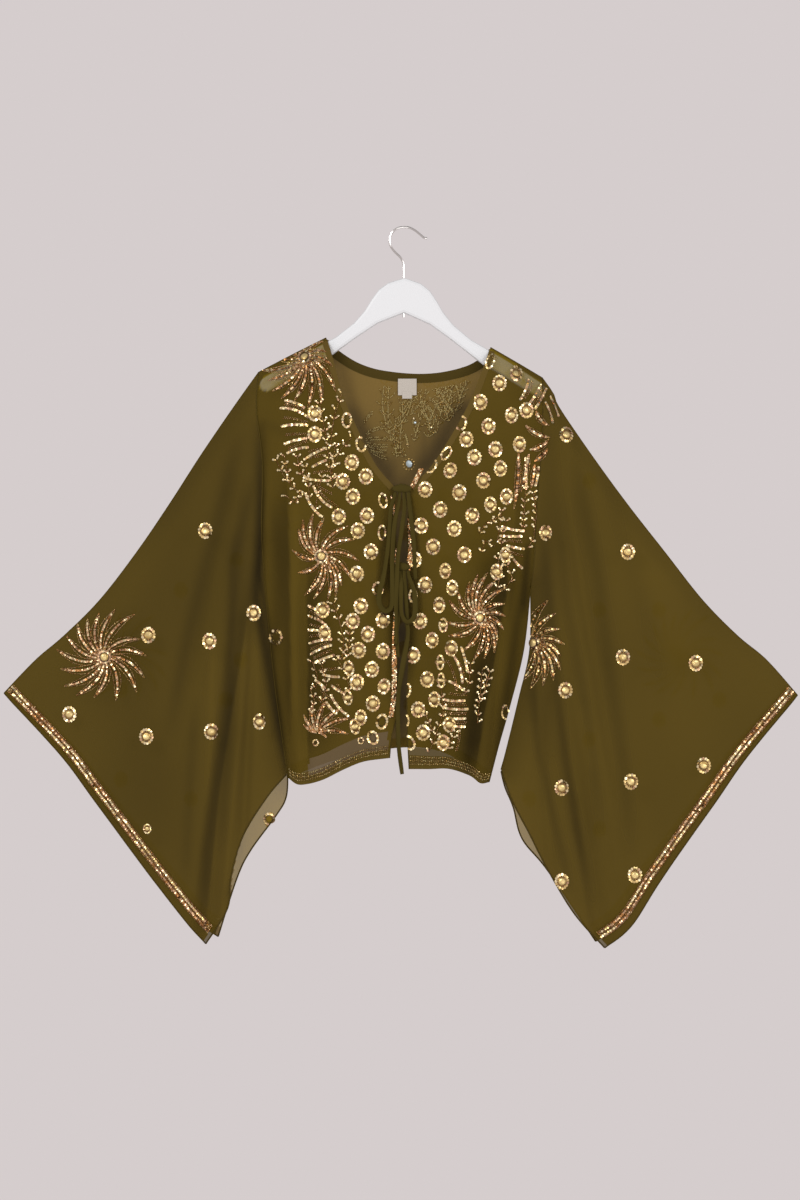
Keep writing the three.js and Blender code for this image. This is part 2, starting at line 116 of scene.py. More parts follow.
# Folds: (top x, top z, foot x, foot z, half width, rise), the solids' own and then finer ones
FRONT_FOLDS = [
    (-223, -290, -312, -720, 15, -6),
    (-266, -430, -352, -900, 22, 3),
    (-213, -330, -291, -1040, 15, -8),
    (-225, -470, -262, -1020, 12, 5),
    (-212, -470, -232, -880, 8, -6),
    (-160, -420, -156, -806, 9, 4),
    (-136, -440, -140, -800, 7, -4),
    (-70, -420, -62, -780, 14, -3),
    (221, -290, 300, -760, 15, -6),
    (262, -420, 372, -940, 22, 3),
    (205, -430, 262, -860, 14, -7),
    (192, -520, 286, -1020, 15, -8),
    (184, -600, 212, -900, 9, 5),
    (140, -470, 118, -800, 8, 4),
    (121, -480, 96, -790, 7, -4),
    (60, -440, 52, -780, 14, -3),
]
BACK_FOLDS = [
    (-226, -300, -330, -760, 16, -6),
    (-214, -360, -300, -1000, 16, -7),
    (-218, -480, -246, -900, 10, 5),
    (-150, -430, -148, -800, 12, -5),
    (-40, -300, -52, -760, 18, -4),
    (58, -320, 44, -760, 16, -5),
    (136, -440, 112, -790, 11, -5),
    (222, -300, 318, -780, 16, -6),
    (202, -460, 278, -960, 16, -8),
    (186, -580, 222, -900, 10, 5),
]
FINE_FRONT_FOLDS = [
    (-232, -330, -262, -560, 7, -2.5),
    (-246, -520, -300, -940, 9, 2.5),
    (-218, -560, -262, -1000, 6, 2),
    (-300, -380, -470, -720, 26, 1.8),
    (-330, -470, -420, -860, 24, -1.6),
    (-196, -300, -182, -520, 8, -2),
    (-182, -560, -172, -790, 5, 2),
    (-108, -460, -104, -800, 9, -1.6),
    (-40, -430, -36, -770, 9, 1.4),
    (232, -340, 270, -600, 8, -2.5),
    (250, -520, 318, -960, 9, 2.5),
    (214, -640, 262, -980, 7, 2.5),
    (300, -400, 470, -740, 26, 1.8),
    (336, -500, 430, -880, 24, -1.6),
    (176, -330, 166, -560, 8, -2),
    (158, -560, 136, -780, 6, 1.8),
    (92, -470, 84, -780, 9, -1.6),
    (36, -430, 34, -780, 9, 1.4),
]
FINE_BACK_FOLDS = [
    (-240, -360, -300, -800, 9, 2.5),
    (-300, -400, -450, -740, 26, 1.6),
    (-110, -340, -100, -760, 10, 2),
    (-76, -420, -84, -760, 8, -2),
    (8, -300, -4, -750, 9, 2),
    (92, -360, 78, -760, 10, 2.2),
    (240, -380, 300, -820, 9, 2.5),
    (300, -420, 450, -760, 26, 1.6),
]


def unit(rows):
    """Each row as a direction of length one."""
    return rows / np.linalg.norm(rows, axis=-1, keepdims=True)


def turned(one, other, angle):
    """Two square directions turned in their own plane."""
    c, s = np.cos(angle)[:, None], np.sin(angle)[:, None]
    return c * one + s * other, c * other - s * one


def reach_along(points):
    """How far along a line each of its points is."""
    return np.concatenate([[0], np.cumsum(np.linalg.norm(np.diff(points, axis=0), axis=1))])


def at_reach(points, reach, where):
    """Places at given distances along a line."""
    return np.stack([np.interp(where, reach, points[:, k]) for k in range(points.shape[1])], -1)


def hermite(values, steps=64):
    """Dense points on the uniform smooth curve through the rows."""
    rows = np.array(values, float)
    last = len(rows) - 1
    t = np.linspace(0, 1, steps, endpoint=False)[:, None]
    dense = []
    for k in range(last):
        p0, p1, p2, p3 = (rows[min(max(k + shift, 0), last)] for shift in (-1, 0, 1, 2))
        v0, v1 = (p2 - p0) / 2, (p3 - p1) / 2
        dense.append((2 * p1 - 2 * p2 + v0 + v1) * t**3 + (-3 * p1 + 3 * p2 - 2 * v0 - v1) * t**2
                     + v0 * t + p1)
    dense.append(rows[-1:])
    return np.vstack(dense)


class Edge:
    """A smooth edge walked by its share of the whole length."""

    def __init__(self, rows):
        self.points = hermite(rows)
        self.reach = reach_along(self.points)

    def at(self, share):
        return at_reach(self.points, self.reach, np.clip(share, 0, 1) * self.reach[-1])


class TwoEdges:
    """Two edges end to end, with their corner at the armpit's share."""

    def __init__(self, first, second):
        self.first, self.second = Edge(first), Edge(second)

    def at(self, share):
        share = np.asarray(share, float)
        upper = self.first.at(share / ARMPIT_SHARE)
        lower = self.second.at((share - ARMPIT_SHARE) / (1 - ARMPIT_SHARE))
        return np.where((share <= ARMPIT_SHARE)[..., None], upper, lower)


class BackTop:
    """The back's upper edge: left shoulder, neck curve and right shoulder."""

    def __init__(self):
        self.left, self.neck = Edge(LEFT["shoulder"]), Edge(BACK_NECK)
        self.right = Edge(RIGHT["shoulder"])

    def at(self, share):
        share = np.asarray(share, float)
        start, end = NECK_SHARES
        left = self.left.at(1 - share / start)
        neck = self.neck.at((share - start) / (end - start))
        right = self.right.at((share - end) / (1 - end))
        return np.where((share < start)[..., None], left,
                        np.where((share > end)[..., None], right, neck))


def smooth_unit(value):
    """A smooth step from zero to one."""
    t = np.clip(value, 0, 1)
    return t * t * (3 - 2 * t)


def edge_distance(points, x, z):
    """Distance from each point to a walked edge."""
    nearest = np.full(np.shape(x), np.inf)
    for a, b in zip(points[:-1], points[1:]):
        run = b - a
        along = np.clip(((x - a[0]) * run[0] + (z - a[1]) * run[1]) / max(run @ run, 1e-9), 0, 1)
        off_x, off_z = a[0] + run[0] * along - x, a[1] + run[1] * along - z
        nearest = np.minimum(nearest, np.hypot(off_x, off_z))
    return nearest


SEAMS = {}
for half_name, half in HALVES.items():
    upper_edge = Edge(half["shoulder"][:-1] + half["top_fold"]).at(np.linspace(0, 1, 25))
    side_edge = Edge(half["side"]).at(np.linspace(0, 1, 13))
    under_edge = Edge(half["underarm"]).at(np.linspace(0, 1, 13))
    SEAMS[half_name + "_body"] = [(upper_edge, SHOULDER_ROUND), (side_edge, SIDE_ROUND)]
    SEAMS[half_name + "_sleeve"] = [(upper_edge, SHOULDER_ROUND), (under_edge, SIDE_ROUND)]
SEAMS["back_body"] = SEAMS["left_body"] + SEAMS["right_body"]


def fold_rise(folds, x, z):
    """How far the folds lift the cloth, each a smooth ridge or trough from its top to its foot."""
    total = np.zeros(np.shape(x))
    for top_x, top_z, foot_x, foot_z, half_width, rise in folds:
        t = (z - top_z) / (foot_z - top_z)
        across = (x - top_x - (foot_x - top_x) * t) / half_width
        total += (rise * np.exp(-across * across) * smooth_unit(t / FOLD_HEAD)
                  * smooth_unit((FOLD_END - t) / FOLD_FOOT))
    return total


def ripple(x, z, side):
    """Slight waviness of loose cloth, under a millimetre either way."""
    warp = 14 * np.sin(z / 93 + side) + 9 * np.sin(z / 41 + x / 160)
    return (0.45 * np.sin((x + warp) / 17.0 + 1.3 * side) * np.sin(z / 120 + x / 90 + 0.7)
            + 0.35 * np.sin((x * 0.7 - z * 0.35 + warp) / 12.0 + side))


class Cloth:
    """One layer of the garment as a depth over [x, z], front or back."""

    def __init__(self, seams, side, folds):
        self.seams, self.side, self.folds = SEAMS[seams], side, folds

    def depth(self, x, z):
        x, z = np.asarray(x, float), np.asarray(z, float)
        nearest = np.full(x.shape, np.inf)
        for points, reach in self.seams:
            nearest = np.minimum(nearest, edge_distance(points, x, z) / reach)
        swell = np.sin(np.minimum(1, nearest) * math.pi / 2)
        outward = smooth_unit((np.abs(x) - BODY_REACH) / (SLEEVE_REACH - BODY_REACH))
        flare = HEM_SPREAD * smooth_unit((-z - SPREAD_FROM) / SPREAD_RUN) * (1 - outward)
        full = BODY_DEPTH + flare + (CUFF_DEPTH - BODY_DEPTH) * outward
        wave = fold_rise(self.folds, x, z) + ripple(x, z, self.side)
        return SEAM_DEPTH + swell * (full + wave - SEAM_DEPTH) - WALL / 2

    def at(self, x, z, lift=0.0):
        """Points on the cloth, or lifted off it, in millimetres."""
        y = self.side * (self.depth(x, z) + lift)
        return np.stack([np.broadcast_to(x, np.shape(y)), y, np.broadcast_to(z, np.shape(y))], -1)

    def slopes(self, x, z, step=2.0):
        """How fast the depth grows across and upward."""
        dx = (self.depth(x + step, z) - self.depth(x - step, z)) / (2 * step)
        dz = (self.depth(x, z + step) - self.depth(x, z - step)) / (2 * step)
        return dx, dz


ALL_FOLDS = {-1: FRONT_FOLDS + FINE_FRONT_FOLDS, 1: BACK_FOLDS + FINE_BACK_FOLDS}
BODY_FRONT = {name: Cloth(name + "_body", -1, ALL_FOLDS[-1]) for name in HALVES}
BODY_BACK = Cloth("back_body", 1, ALL_FOLDS[1])
SLEEVE = {(name, side): Cloth(name + "_sleeve", side, ALL_FOLDS[side])
          for name in HALVES for side in FACES.values()}


def patch(top, bottom, start, end, rows, columns):
    """A grid of [x, z] points over the area inside four edges."""
    v = np.asarray(rows, float)[:, None]
    u = np.asarray(columns, float)[None, :]
    across = top.at(u) * (1 - v[..., None]) + bottom.at(u) * v[..., None]
    down = start.at(v) * (1 - u[..., None]) + end.at(v) * u[..., None]
    corner = [top.at(0.0), top.at(1.0), bottom.at(0.0), bottom.at(1.0)]
    corners = (corner[0] * ((1 - u) * (1 - v))[..., None] + corner[1] * (u * (1 - v))[..., None]
               + corner[2] * ((1 - u) * v)[..., None] + corner[3] * (u * v)[..., None])
    return across + down - corners


def mesh_object(name, points_mm, faces, material, body="root"):
    """A smooth shaded mesh from points in millimetres."""
    mesh = bpy.data.meshes.new(name)
    mesh.from_pydata((np.asarray(points_mm, float).reshape(-1, 3) * MM).tolist(), [], faces)
    mesh.update()
    mesh.polygons.foreach_set("use_smooth", np.ones(len(mesh.polygons), bool))
    piece = bpy.data.objects.new(name, mesh)
    bpy.context.scene.collection.objects.link(piece)
    for item in material if isinstance(material, (list, tuple)) else [material]:
        mesh.materials.append(item)
    if body:
        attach(piece, body)
    return piece


def grid_faces(rows, columns, start=0, flip=False):
    """Four-sided faces between the points of a grid."""
    faces = []
    for j in range(rows - 1):
        for i in range(columns - 1):
            a = start + j * columns + i
            quad = [a, a + 1, a + 1 + columns, a + columns]
            faces.append(quad[::-1] if flip else quad)
    return faces


def ring_faces(rings, sides, capped=True):
    """Faces between rings of points, and over both ends where they are capped."""
    faces = []
    for j in range(rings - 1):
        for i in range(sides):
            k = (i + 1) % sides
            faces.append([j * sides + i, j * sides + k, (j + 1) * sides + k, (j + 1) * sides + i])
    if capped:
        faces.append(list(range(sides))[::-1])
        faces.append([(rings - 1) * sides + i for i in range(sides)])
    return faces


def principled(name, base, roughness, metallic=0.0, alpha=1.0):
    made = bpy.data.materials.new(name)
    made.use_nodes = True
    shader = made.node_tree.nodes["Principled BSDF"]
    shader.inputs["Base Color"].default_value = (*base, 1)
    shader.inputs["Roughness"].default_value = roughness
    shader.inputs["Metallic"].default_value = metallic
    shader.inputs["Alpha"].default_value = alpha
    return made, shader


BUMP_DEEP_M = 0.0006
CREPE_PITCH = 1.1
CREPE_BUMP = 0.35
CREPE_ROUGH = 0.9
CREPE_SHINE = 0.06


def weave(material, shader, pitch_mm, strength):
    """A fine crepe surface: small noise as a bump."""
    tree = material.node_tree
    place = tree.nodes.new("ShaderNodeTexCoord")
    grain = tree.nodes.new("ShaderNodeTexNoise")
    grain.inputs["Scale"].default_value = 1000 / pitch_mm
    grain.inputs["Detail"].default_value = 3
    bump = tree.nodes.new("ShaderNodeBump")
    bump.inputs["Strength"].default_value = strength
    bump.inputs["Distance"].default_value = BUMP_DEEP_M
    tree.links.new(place.outputs["Object"], grain.inputs["Vector"])
    tree.links.new(grain.outputs["Fac"], bump.inputs["Height"])
    tree.links.new(bump.outputs["Normal"], shader.inputs["Normal"])


def georgette(name, base, alpha, shaded=False):
    """Sheer crepe, in one colour or in the colours painted on the mesh with their painted shade and light.
    """
    made, shader = principled(name, base, CREPE_ROUGH, alpha=alpha)
    shader.inputs["Specular IOR Level"].default_value = CREPE_SHINE
    weave(made, shader, CREPE_PITCH, CREPE_BUMP)
    if shaded:
        painted_shading = made.node_tree.nodes.new("ShaderNodeAttribute")
        painted_shading.attribute_name = "painted_shading"
        made.node_tree.links.new(painted_shading.outputs["Color"], shader.inputs["Base Color"])
    return made


# One georgette in lit and shaded copies of its colour: the fronts darker for the shade between the layers;
# the back, the sleeves' single layer and the left front's foot lighter for the light passing through the
# sheer cloth; the fronts over the hanger lighter still, painted light for the white wood seen through them
FRONT_BASE = (0.088, 0.058, 0.0065)
PAINTED_LIGHT_OVER_WOOD_BASE = (0.200, 0.138, 0.006)
BACK_BASE = (0.174, 0.110, 0.024)
front_cloth = georgette("georgette_front", FRONT_BASE, 0.87, shaded=True)
front_painted_light_over_wood = georgette("georgette_painted_light_over_hanger", PAINTED_LIGHT_OVER_WOOD_BASE, 0.80, shaded=True)
back_cloth = georgette("georgette_back", BACK_BASE, 0.985, shaded=True)
sleeve_back_cloth = georgette("georgette_sleeve_back", BACK_BASE, 0.96, shaded=True)
single_layer = georgette("georgette_single_layer", (0.234, 0.156, 0.015), 0.84)
back_behind_ties = georgette("georgette_behind_ties", BACK_BASE, 0.99, shaded=True)
hem_cloth = georgette("georgette_hem", (0.122, 0.076, 0.011), 0.86)
cuff_cloth = georgette("georgette_cuff", (0.095, 0.062, 0.008), 0.97)
front_past_back = georgette("georgette_front_edge", FRONT_BASE, 0.95, shaded=True)
front_thin_painted_light = georgette("georgette_front_foot_painted_light", (0.126, 0.089, 0.044), 0.95)
band_cloth = georgette("georgette_band", (0.064, 0.044, 0.009), 1.0)
facing_cloth = georgette("georgette_facing", (0.112, 0.074, 0.017), 1.0)
tie_cloth = georgette("georgette_tie", (0.060, 0.045, 0.009), 1.0)

# Pixel places are read off the photograph and turned to millimetres by one scale
PHOTO_MIDDLE = 403.5
PHOTO_RAIL = 228.3
MM_PER_PIXEL = 1.45


def spot(px, py):
    """A place read off the photograph in pixels, as [x, z] in millimetres."""
    return np.array([(px - PHOTO_MIDDLE) * MM_PER_PIXEL, (PHOTO_RAIL - py) * MM_PER_PIXEL])


# Shade painted into the cloth's colour where folds lie deep and in the shadow between parts: line in
# pixels, half width in millimetres and how much darker, then for a shade with one sharp side that side, -1
# left or 1 right
FRONT_SHADES = [
    ([(238, 440), (218, 520), (208, 560), (186, 650), (172, 730)], 12, 0.30),
    ([(256, 470), (244, 520), (234, 560), (232, 650), (229, 700), (222, 750), (207, 850), (202, 925)],
     8, 0.34),
    ([(262, 425), (261, 500), (258, 560), (256, 598), (266, 650), (276, 710), (286, 775)], 8, 0.62),
    ([(300, 590), (300, 740)], 14, 0.12),
    ([(252, 585), (242, 650), (228, 735), (219, 790), (205, 930)], 11, 0.36, 1),
    ([(287, 470), (289, 560), (290, 650), (291, 735)], 15, 0.42, 1),
    ([(308, 565), (308.5, 650), (309, 765)], 32, 0.50, -1),
    ([(196, 700), (190, 800), (186, 880)], 9, 0.18),
    ([(300, 440), (262, 420), (255, 470)], 10, 0.14),
    ([(262, 820), (240, 860), (228, 900)], 6, 0.25),
    ([(572, 440), (586, 520), (598, 580), (608, 660), (622, 760), (630, 850)], 12, 0.22),
    ([(556, 500), (566, 600), (580, 680), (592, 760), (600, 830)], 9, 0.22),
    ([(600, 450), (622, 540), (646, 620), (664, 700)], 16, 0.10),
    ([(528, 540), (525, 580), (523, 615)], 7, 0.58),
    ([(543, 540), (552, 640), (558, 700), (564, 760), (574, 820), (592, 900)], 9, 0.30),
    ([(532, 670), (538, 750), (556, 830), (570, 890)], 7, 0.24),
    ([(507, 545), (505, 595), (497, 633), (490, 683), (483, 714), (474, 775)], 30, 0.62, 1),
    ([(264, 490), (259, 573), (267, 614), (276, 690), (287, 785)], 3, 0.45),
    ([(522, 590), (512, 660), (503, 720), (492, 800)], 8, 0.42),
    ([(482, 650), (475, 700), (467, 775)], 13, 0.50),
    ([(235, 380), (165, 560), (130, 700), (150, 900)], 100, 0.22),
    ([(250, 480), (240, 560), (236, 640)], 26, 0.16),
    ([(400, 474), (400, 486)], 9, 0.55),
    ([(519, 470), (517, 540), (508, 620)], 5, 0.24),
    ([(392, 500), (393, 600), (392, 700)], 8, 0.46),
    ([(382, 540), (381, 575), (383, 606)], 5, 0.42),
    ([(410, 500), (413, 570), (413, 620), (407, 690)], 9, 0.46),
    ([(386, 520), (386, 560), (388, 590)], 5, 0.30),
    ([(400, 480), (398, 500)], 14, 0.42),
    ([(275, 500), (279, 560), (279, 610), (270, 670)], 13, 0.30),
    ([(235, 530), (240, 590), (240, 650)], 16, 0.16),
    ([(494, 530), (496, 600), (490, 680), (478, 770)], 30, 0.20),
    ([(544, 410), (549, 490), (548, 570), (552, 640)], 18, 0.17),
    ([(536, 560), (534, 640), (528, 720)], 14, 0.14),
    ([(440, 640), (440, 760)], 22, 0.12),
    ([(231, 620), (229, 740), (221, 850)], 10, 0.24),
    ([(254, 560), (257, 600), (266, 650)], 12, 0.20),
    ([(542, 500), (543, 620), (548, 760)], 13, 0.16),
]
# Light painted where a fold stands up and catches the light, written in the same way
FRONT_LIGHTS = [
    ([(268, 470), (268, 560), (270, 650)], 5, -0.12),
    ([(296, 480), (296, 560), (295, 740)], 6, -0.14),
    ([(214, 640), (212, 720), (208, 800)], 5, -0.12),
    ([(150, 520), (110, 620)], 30, -0.07),
    ([(505, 600), (497, 690), (492, 760)], 5, -0.16),
    ([(650, 560), (690, 660)], 34, -0.07),
    ([(575, 690), (592, 770)], 8, -0.10),
]
FRONT_PAINTED_SHADING = FRONT_SHADES + FRONT_LIGHTS
# Shade painted into the back's colour, written in the same way: in the shadow seen between the fronts and
# behind the ties, at the neck and in its folds
BACK_SHADES = [
    ([(404, 395), (404, 520)], 42, 0.20),
    ([(402, 492), (401, 600), (401, 760)], 19, 0.62),
    ([(345, 400), (368, 440), (390, 478)], 13, 0.40),
    ([(470, 395), (448, 430), (421, 478)], 20, 0.50),
    ([(392, 455), (390, 480)], 9, 0.20),
    ([(400, 484), (404, 490)], 18, 0.35),
    ([(424, 420), (420, 470)], 4, 0.22),
    ([(350, 360), (400, 376), (460, 372)], 10, 0.12),
    ([(238, 450), (215, 560), (190, 700)], 12, 0.3),
    ([(572, 450), (596, 560), (610, 700)], 12, 0.3),
    ([(262, 440), (258, 600), (284, 770)], 10, 0.4),
    ([(528, 540), (522, 640), (500, 760)], 10, 0.4),
    ([(330, 480), (332, 700)], 12, 0.25),
    ([(470, 480), (466, 700)], 12, 0.25),
]

# The width in millimetres of a painted shade's sharp side, and the share of a line over which its ends fade
CRISP = 1.6
FADE_SHARE = 0.28
MOTTLE = 0.02
PAINTED_SHADING_RANGE = (0.12, 1.3)


def side_of(line, x, z):
    """Which side of a downward line each point lies on: -1 left of it, 1 right of it."""
    middle = np.interp(-z, -line[:, 1], line[:, 0])
    return np.sign(x - middle)


def painted_shading_at(points, shades):
    """Painted shading at each point, from one down where its folds lie deep and up where they catch the
    light, with a slight random mottle.
    """
    x, z = points[:, 0], points[:, 2]
    painted_shading = np.ones(len(points))
    for rows, half_width, depth, *crisp_side in shades:
        line = np.array([spot(*p) for p in rows])
        width = np.full(len(x), float(half_width))
        if crisp_side:
            width[side_of(line, x, z) == crisp_side[0]] = CRISP
        away = edge_distance(line, x, z) / width
        head, foot = line[:, 1].max(), line[:, 1].min()
        fade = FADE_SHARE * (head - foot) + 1
        ends = smooth_unit((head + fade / 3 - z) / fade) * smooth_unit((z - foot + fade / 3) / fade)
        painted_shading *= 1 - depth * np.exp(-away * away) * ends
    mottle = MOTTLE * np.sin(x / 23 + z / 71) + MOTTLE * np.sin(x / 61 - z / 37 + 1.4)
    return np.clip(painted_shading + mottle, *PAINTED_SHADING_RANGE)


# The hanger's under and upper edges, half of each outward from the middle, and its lean
WOOD_UNDER_X = [0, 38, 67, 115, 196, 208]
WOOD_UNDER_Z = [-123, -139, -159, -195, -242, -237]
WOOD_UPPER_X = [0, 57, 72, 98, 150, 186, 203, 208]
WOOD_UPPER_Z = [-72, -121, -139, -160, -189, -211, -222, -231]
WOOD_LEAN = 0.0192


def over_wood(points):
    """True where a point of the front lies over the hanger's arms, where its colour is painted lighter for
    the wood seen through.
    """
    out, lean = np.abs(points[:, 0]), WOOD_LEAN * points[:, 0]
    foot = np.interp(out, WOOD_UNDER_X, WOOD_UNDER_Z) - lean
    roof = np.interp(out, WOOD_UPPER_X, WOOD_UPPER_Z) - lean
    return (points[:, 2] > foot) & (points[:, 2] < roof + 1) & (out < WOOD_UNDER_X[-1])


def colours_with_painted_shading(sheet, base, shades, painted_light_wood_base=None):
    """Each point's colour: the cloth's base with painted shade and light from its folds, and over the
    hanger a base painted lighter for the wood seen through.
    """
    points = sheet.reshape(-1, 3)
    bases = np.tile(np.array(base), (len(points), 1))
    if painted_light_wood_base:
        bases[over_wood(points)] = painted_light_wood_base
    return np.concatenate([painted_shading_at(points, shades)[:, None] * bases, np.ones((len(points), 1))], 1)


# Points along each panel's height and width
PANEL_ROWS = 150
FRONT_COLUMNS = 52
BACK_COLUMNS = 90
SLEEVE_COLUMNS = 96


def spread(count):
    return np.linspace(0, 1, count)


def front_grid(half, rows, columns):
    return patch(Edge(half["shoulder"]), Edge(half["hem"]), TwoEdges(half["neckline"], half["opening"]),
                 TwoEdges(half["armhole"], half["side"]), rows, columns)


def back_grid(rows, columns):
    return patch(BackTop(), Edge(BACK_HEM), TwoEdges(LEFT["armhole"], LEFT["side"]),
                 TwoEdges(RIGHT["armhole"], RIGHT["side"]), rows, columns)


def moved(rows, dx):
    return [(x + dx, z) for x, z in rows]


def sleeve_grid(half, face, rows, columns):
    gap = half["sign"] * SEAM_GAP
    return patch(Edge(moved(half["top_fold"], gap)), Edge(moved(half[face + "_mouth"], gap)),
                 TwoEdges(moved(half["armhole"], gap), moved(half["underarm"], gap)),
                 Edge(moved(half[face + "_cuff"], gap)), rows, columns)


def lofted(cloth, places, lift=0.0):
    """Places in [x, z] put on the cloth, or lifted off it."""
    return cloth.at(places[..., 0], places[..., 1], lift)


def run_length(points):
    return float(np.linalg.norm(np.diff(points, axis=0), axis=1).sum())


def panel(name, sheet, faces, materials, kinds, colours):
    """A sheet of georgette in colours with painted shade and light, that casts no shadow, with one of its
    materials for each face.
    """
    piece = mesh_object(name, sheet, faces, materials)
    piece.data.polygons.foreach_set("material_index", kinds)
    painted_shading = piece.data.color_attributes.new("painted_shading", "FLOAT_COLOR", "POINT")
    painted_shading.data.foreach_set("color", colours.astype(np.float32).ravel())
    piece.visible_shadow = False
    return piece


def face_middles(sheet):
    return (sheet[1:, 1:] + sheet[:-1, :-1]) / 2


# The fronts' materials: where they lie over the hanger, painted lighter for the wood seen through,
# where they hang past the back's hem, and where they are thinnest, painted lighter for the light showing
# through
FRONT_MATERIALS = [front_cloth, front_painted_light_over_wood, front_past_back, front_thin_painted_light]
PAINTED_LIGHT_OVER_HANGER, BELOW_BACK, THIN_PAINTED_LIGHT = 1, 2, 3
PAST_BACK = 3.0
# Pixel columns and shares of the rows between which the left front's foot is thinnest, painted lighter for
# the light showing through
THIN_LEFT, THIN_RIGHT = 309, 388
THIN_FROM, THIN_TO = 0.935, 0.974


def front_kinds(sheet):
    """Which of the fronts' materials each face takes."""
    middles = face_middles(sheet)
    kinds = over_wood(middles.reshape(-1, 3)).astype(int)
    back_hem = back_grid(np.array([1.0]), spread(60))[0]
    hem_height = np.interp(middles[..., 0], back_hem[:, 0], back_hem[:, 1]) + PAST_BACK
    kinds[(middles[..., 2] < hem_height).ravel()] = BELOW_BACK
    thin = np.zeros(middles.shape[:2], bool)
    thin[int(THIN_FROM * PANEL_ROWS):int(THIN_TO * PANEL_ROWS)] = True
    thin &= (middles[..., 0] > spot(THIN_LEFT, 0)[0]) & (middles[..., 0] < spot(THIN_RIGHT, 0)[0])
    kinds[thin.ravel() & (kinds != PAINTED_LIGHT_OVER_HANGER)] = THIN_PAINTED_LIGHT
    return kinds


for name, half in HALVES.items():
    sheet = lofted(BODY_FRONT[name], front_grid(half, spread(PANEL_ROWS), spread(FRONT_COLUMNS)))
    colours = colours_with_painted_shading(sheet, FRONT_BASE, FRONT_PAINTED_SHADING, PAINTED_LIGHT_OVER_WOOD_BASE)
    faces = grid_faces(PANEL_ROWS, FRONT_COLUMNS, flip=half["sign"] > 0)
    piece = panel("front_" + name + "_cloth", sheet, faces, FRONT_MATERIALS, front_kinds(sheet), colours)
    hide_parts("front_" + name)

# Left, right and top of the part of the back that is seen between the ties, in millimetres. There the back
# is nearly opaque, so the shade painted on it stays dark
BEHIND_TIES = (-24, 18, -388)


def behind_ties(sheet):
    """One for each face of the back that is seen between the ties, and zero for the others."""
    middles = face_middles(sheet)
    left, right, top = BEHIND_TIES
    seen = (middles[..., 0] > left) & (middles[..., 0] < right) & (middles[..., 2] < top)
    return seen.ravel().astype(int)


sheet = lofted(BODY_BACK, back_grid(spread(PANEL_ROWS), spread(BACK_COLUMNS)))
piece = panel("back_cloth", sheet, grid_faces(PANEL_ROWS, BACK_COLUMNS), [back_cloth, back_behind_ties],
              behind_ties(sheet), colours_with_painted_shading(sheet, BACK_BASE, BACK_SHADES))
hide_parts("back")

# The sleeves' materials, and how many columns at the cuff are never seen as a single layer. A single layer
# is painted lighter for the light passing through it
SLEEVE_MATERIALS = [front_cloth, sleeve_back_cloth, single_layer]
SLEEVE_BACK, SINGLE_LAYER = 1, 2
CUFF_COLUMNS = 5


def sleeve_back_kinds(half, sheet):
    """The material of each face of a sleeve's back half: a single layer where it hangs past the front."""
    middles = face_middles(sheet)
    mouth = Edge(half["front_mouth"]).at(spread(60))
    mouth = mouth[np.argsort(mouth[:, 0])]
    past = middles[..., 2] < np.interp(middles[..., 0], mouth[:, 0], mouth[:, 1])
    past[:, -CUFF_COLUMNS:] = False
    return np.where(past.ravel(), SINGLE_LAYER, SLEEVE_BACK)


# A sleeve is one piece folded along its top, its halves joined at the fold and under the arm
for name, half in HALVES.items():
    sheets = []
    for face, side in FACES.items():
        grid = sleeve_grid(half, face, spread(PANEL_ROWS), spread(SLEEVE_COLUMNS))
        sheets.append(lofted(SLEEVE[(name, side)], grid))
    flip = half["sign"] < 0
    faces = grid_faces(PANEL_ROWS, SLEEVE_COLUMNS, 0, flip)
    faces += grid_faces(PANEL_ROWS, SLEEVE_COLUMNS, PANEL_ROWS * SLEEVE_COLUMNS, not flip)
    kinds = np.zeros(len(faces), int)
    kinds[len(faces) // 2:] = sleeve_back_kinds(half, sheets[1])
    colours = np.vstack([colours_with_painted_shading(sheets[0], FRONT_BASE, FRONT_PAINTED_SHADING),
                         colours_with_painted_shading(sheets[1], BACK_BASE, BACK_SHADES)])
    piece = panel("sleeve_" + name + "_cloth", np.array(sheets), faces, SLEEVE_MATERIALS, kinds, colours)
    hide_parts("sleeve_" + name + "_front", "sleeve_" + name + "_back")


def strip(name, cloth, grid, lift, material, flip=False):
    """A narrow strip of a second layer over a part of a panel."""
    return mesh_object(name, lofted(cloth, grid, lift), grid_faces(*grid.shape[:2], flip=flip), material)


def tube(name, line, radius, material, sides=6):
    """A round bead of cloth or thread along a line of points."""
    line = np.asarray(line, float)
    along = unit(np.gradient(line, axis=0))
    helper = np.where(np.abs(along[:, 1:2]) < 0.8, [[0.0, 1.0, 0.0]], [[1.0, 0.0, 0.0]])
    side = unit(np.cross(along, helper))
    up = np.cross(side, along)
    turn = np.linspace(0, 2 * math.pi, sides, endpoint=False)
    ring = side[:, None] * np.cos(turn)[None, :, None] + up[:, None] * np.sin(turn)[None, :, None]
    return mesh_object(name, line[:, None] + ring * radius, ring_faces(len(line), sides), material)


def sewn(name, line, radius):
    """A sewn seam or a rolled edge."""
    piece = tube(name, line, radius, band_cloth)
    return piece


EDGE_STEP = 0.02


def edge_band(edge, shares, insets, inward):
    """A grid of places at steps in from an edge, towards the given side."""
    rows = []
    for share in shares:
        ahead = edge.at(min(1, share + EDGE_STEP)) - edge.at(max(0, share - EDGE_STEP))
        normal = np.array([-ahead[1], ahead[0]]) / np.linalg.norm(ahead)
        if normal[0] * inward[0] + normal[1] * inward[1] < 0:
            normal = -normal
        rows.append([edge.at(share) + normal * inset for inset in insets])
    return np.array(rows)


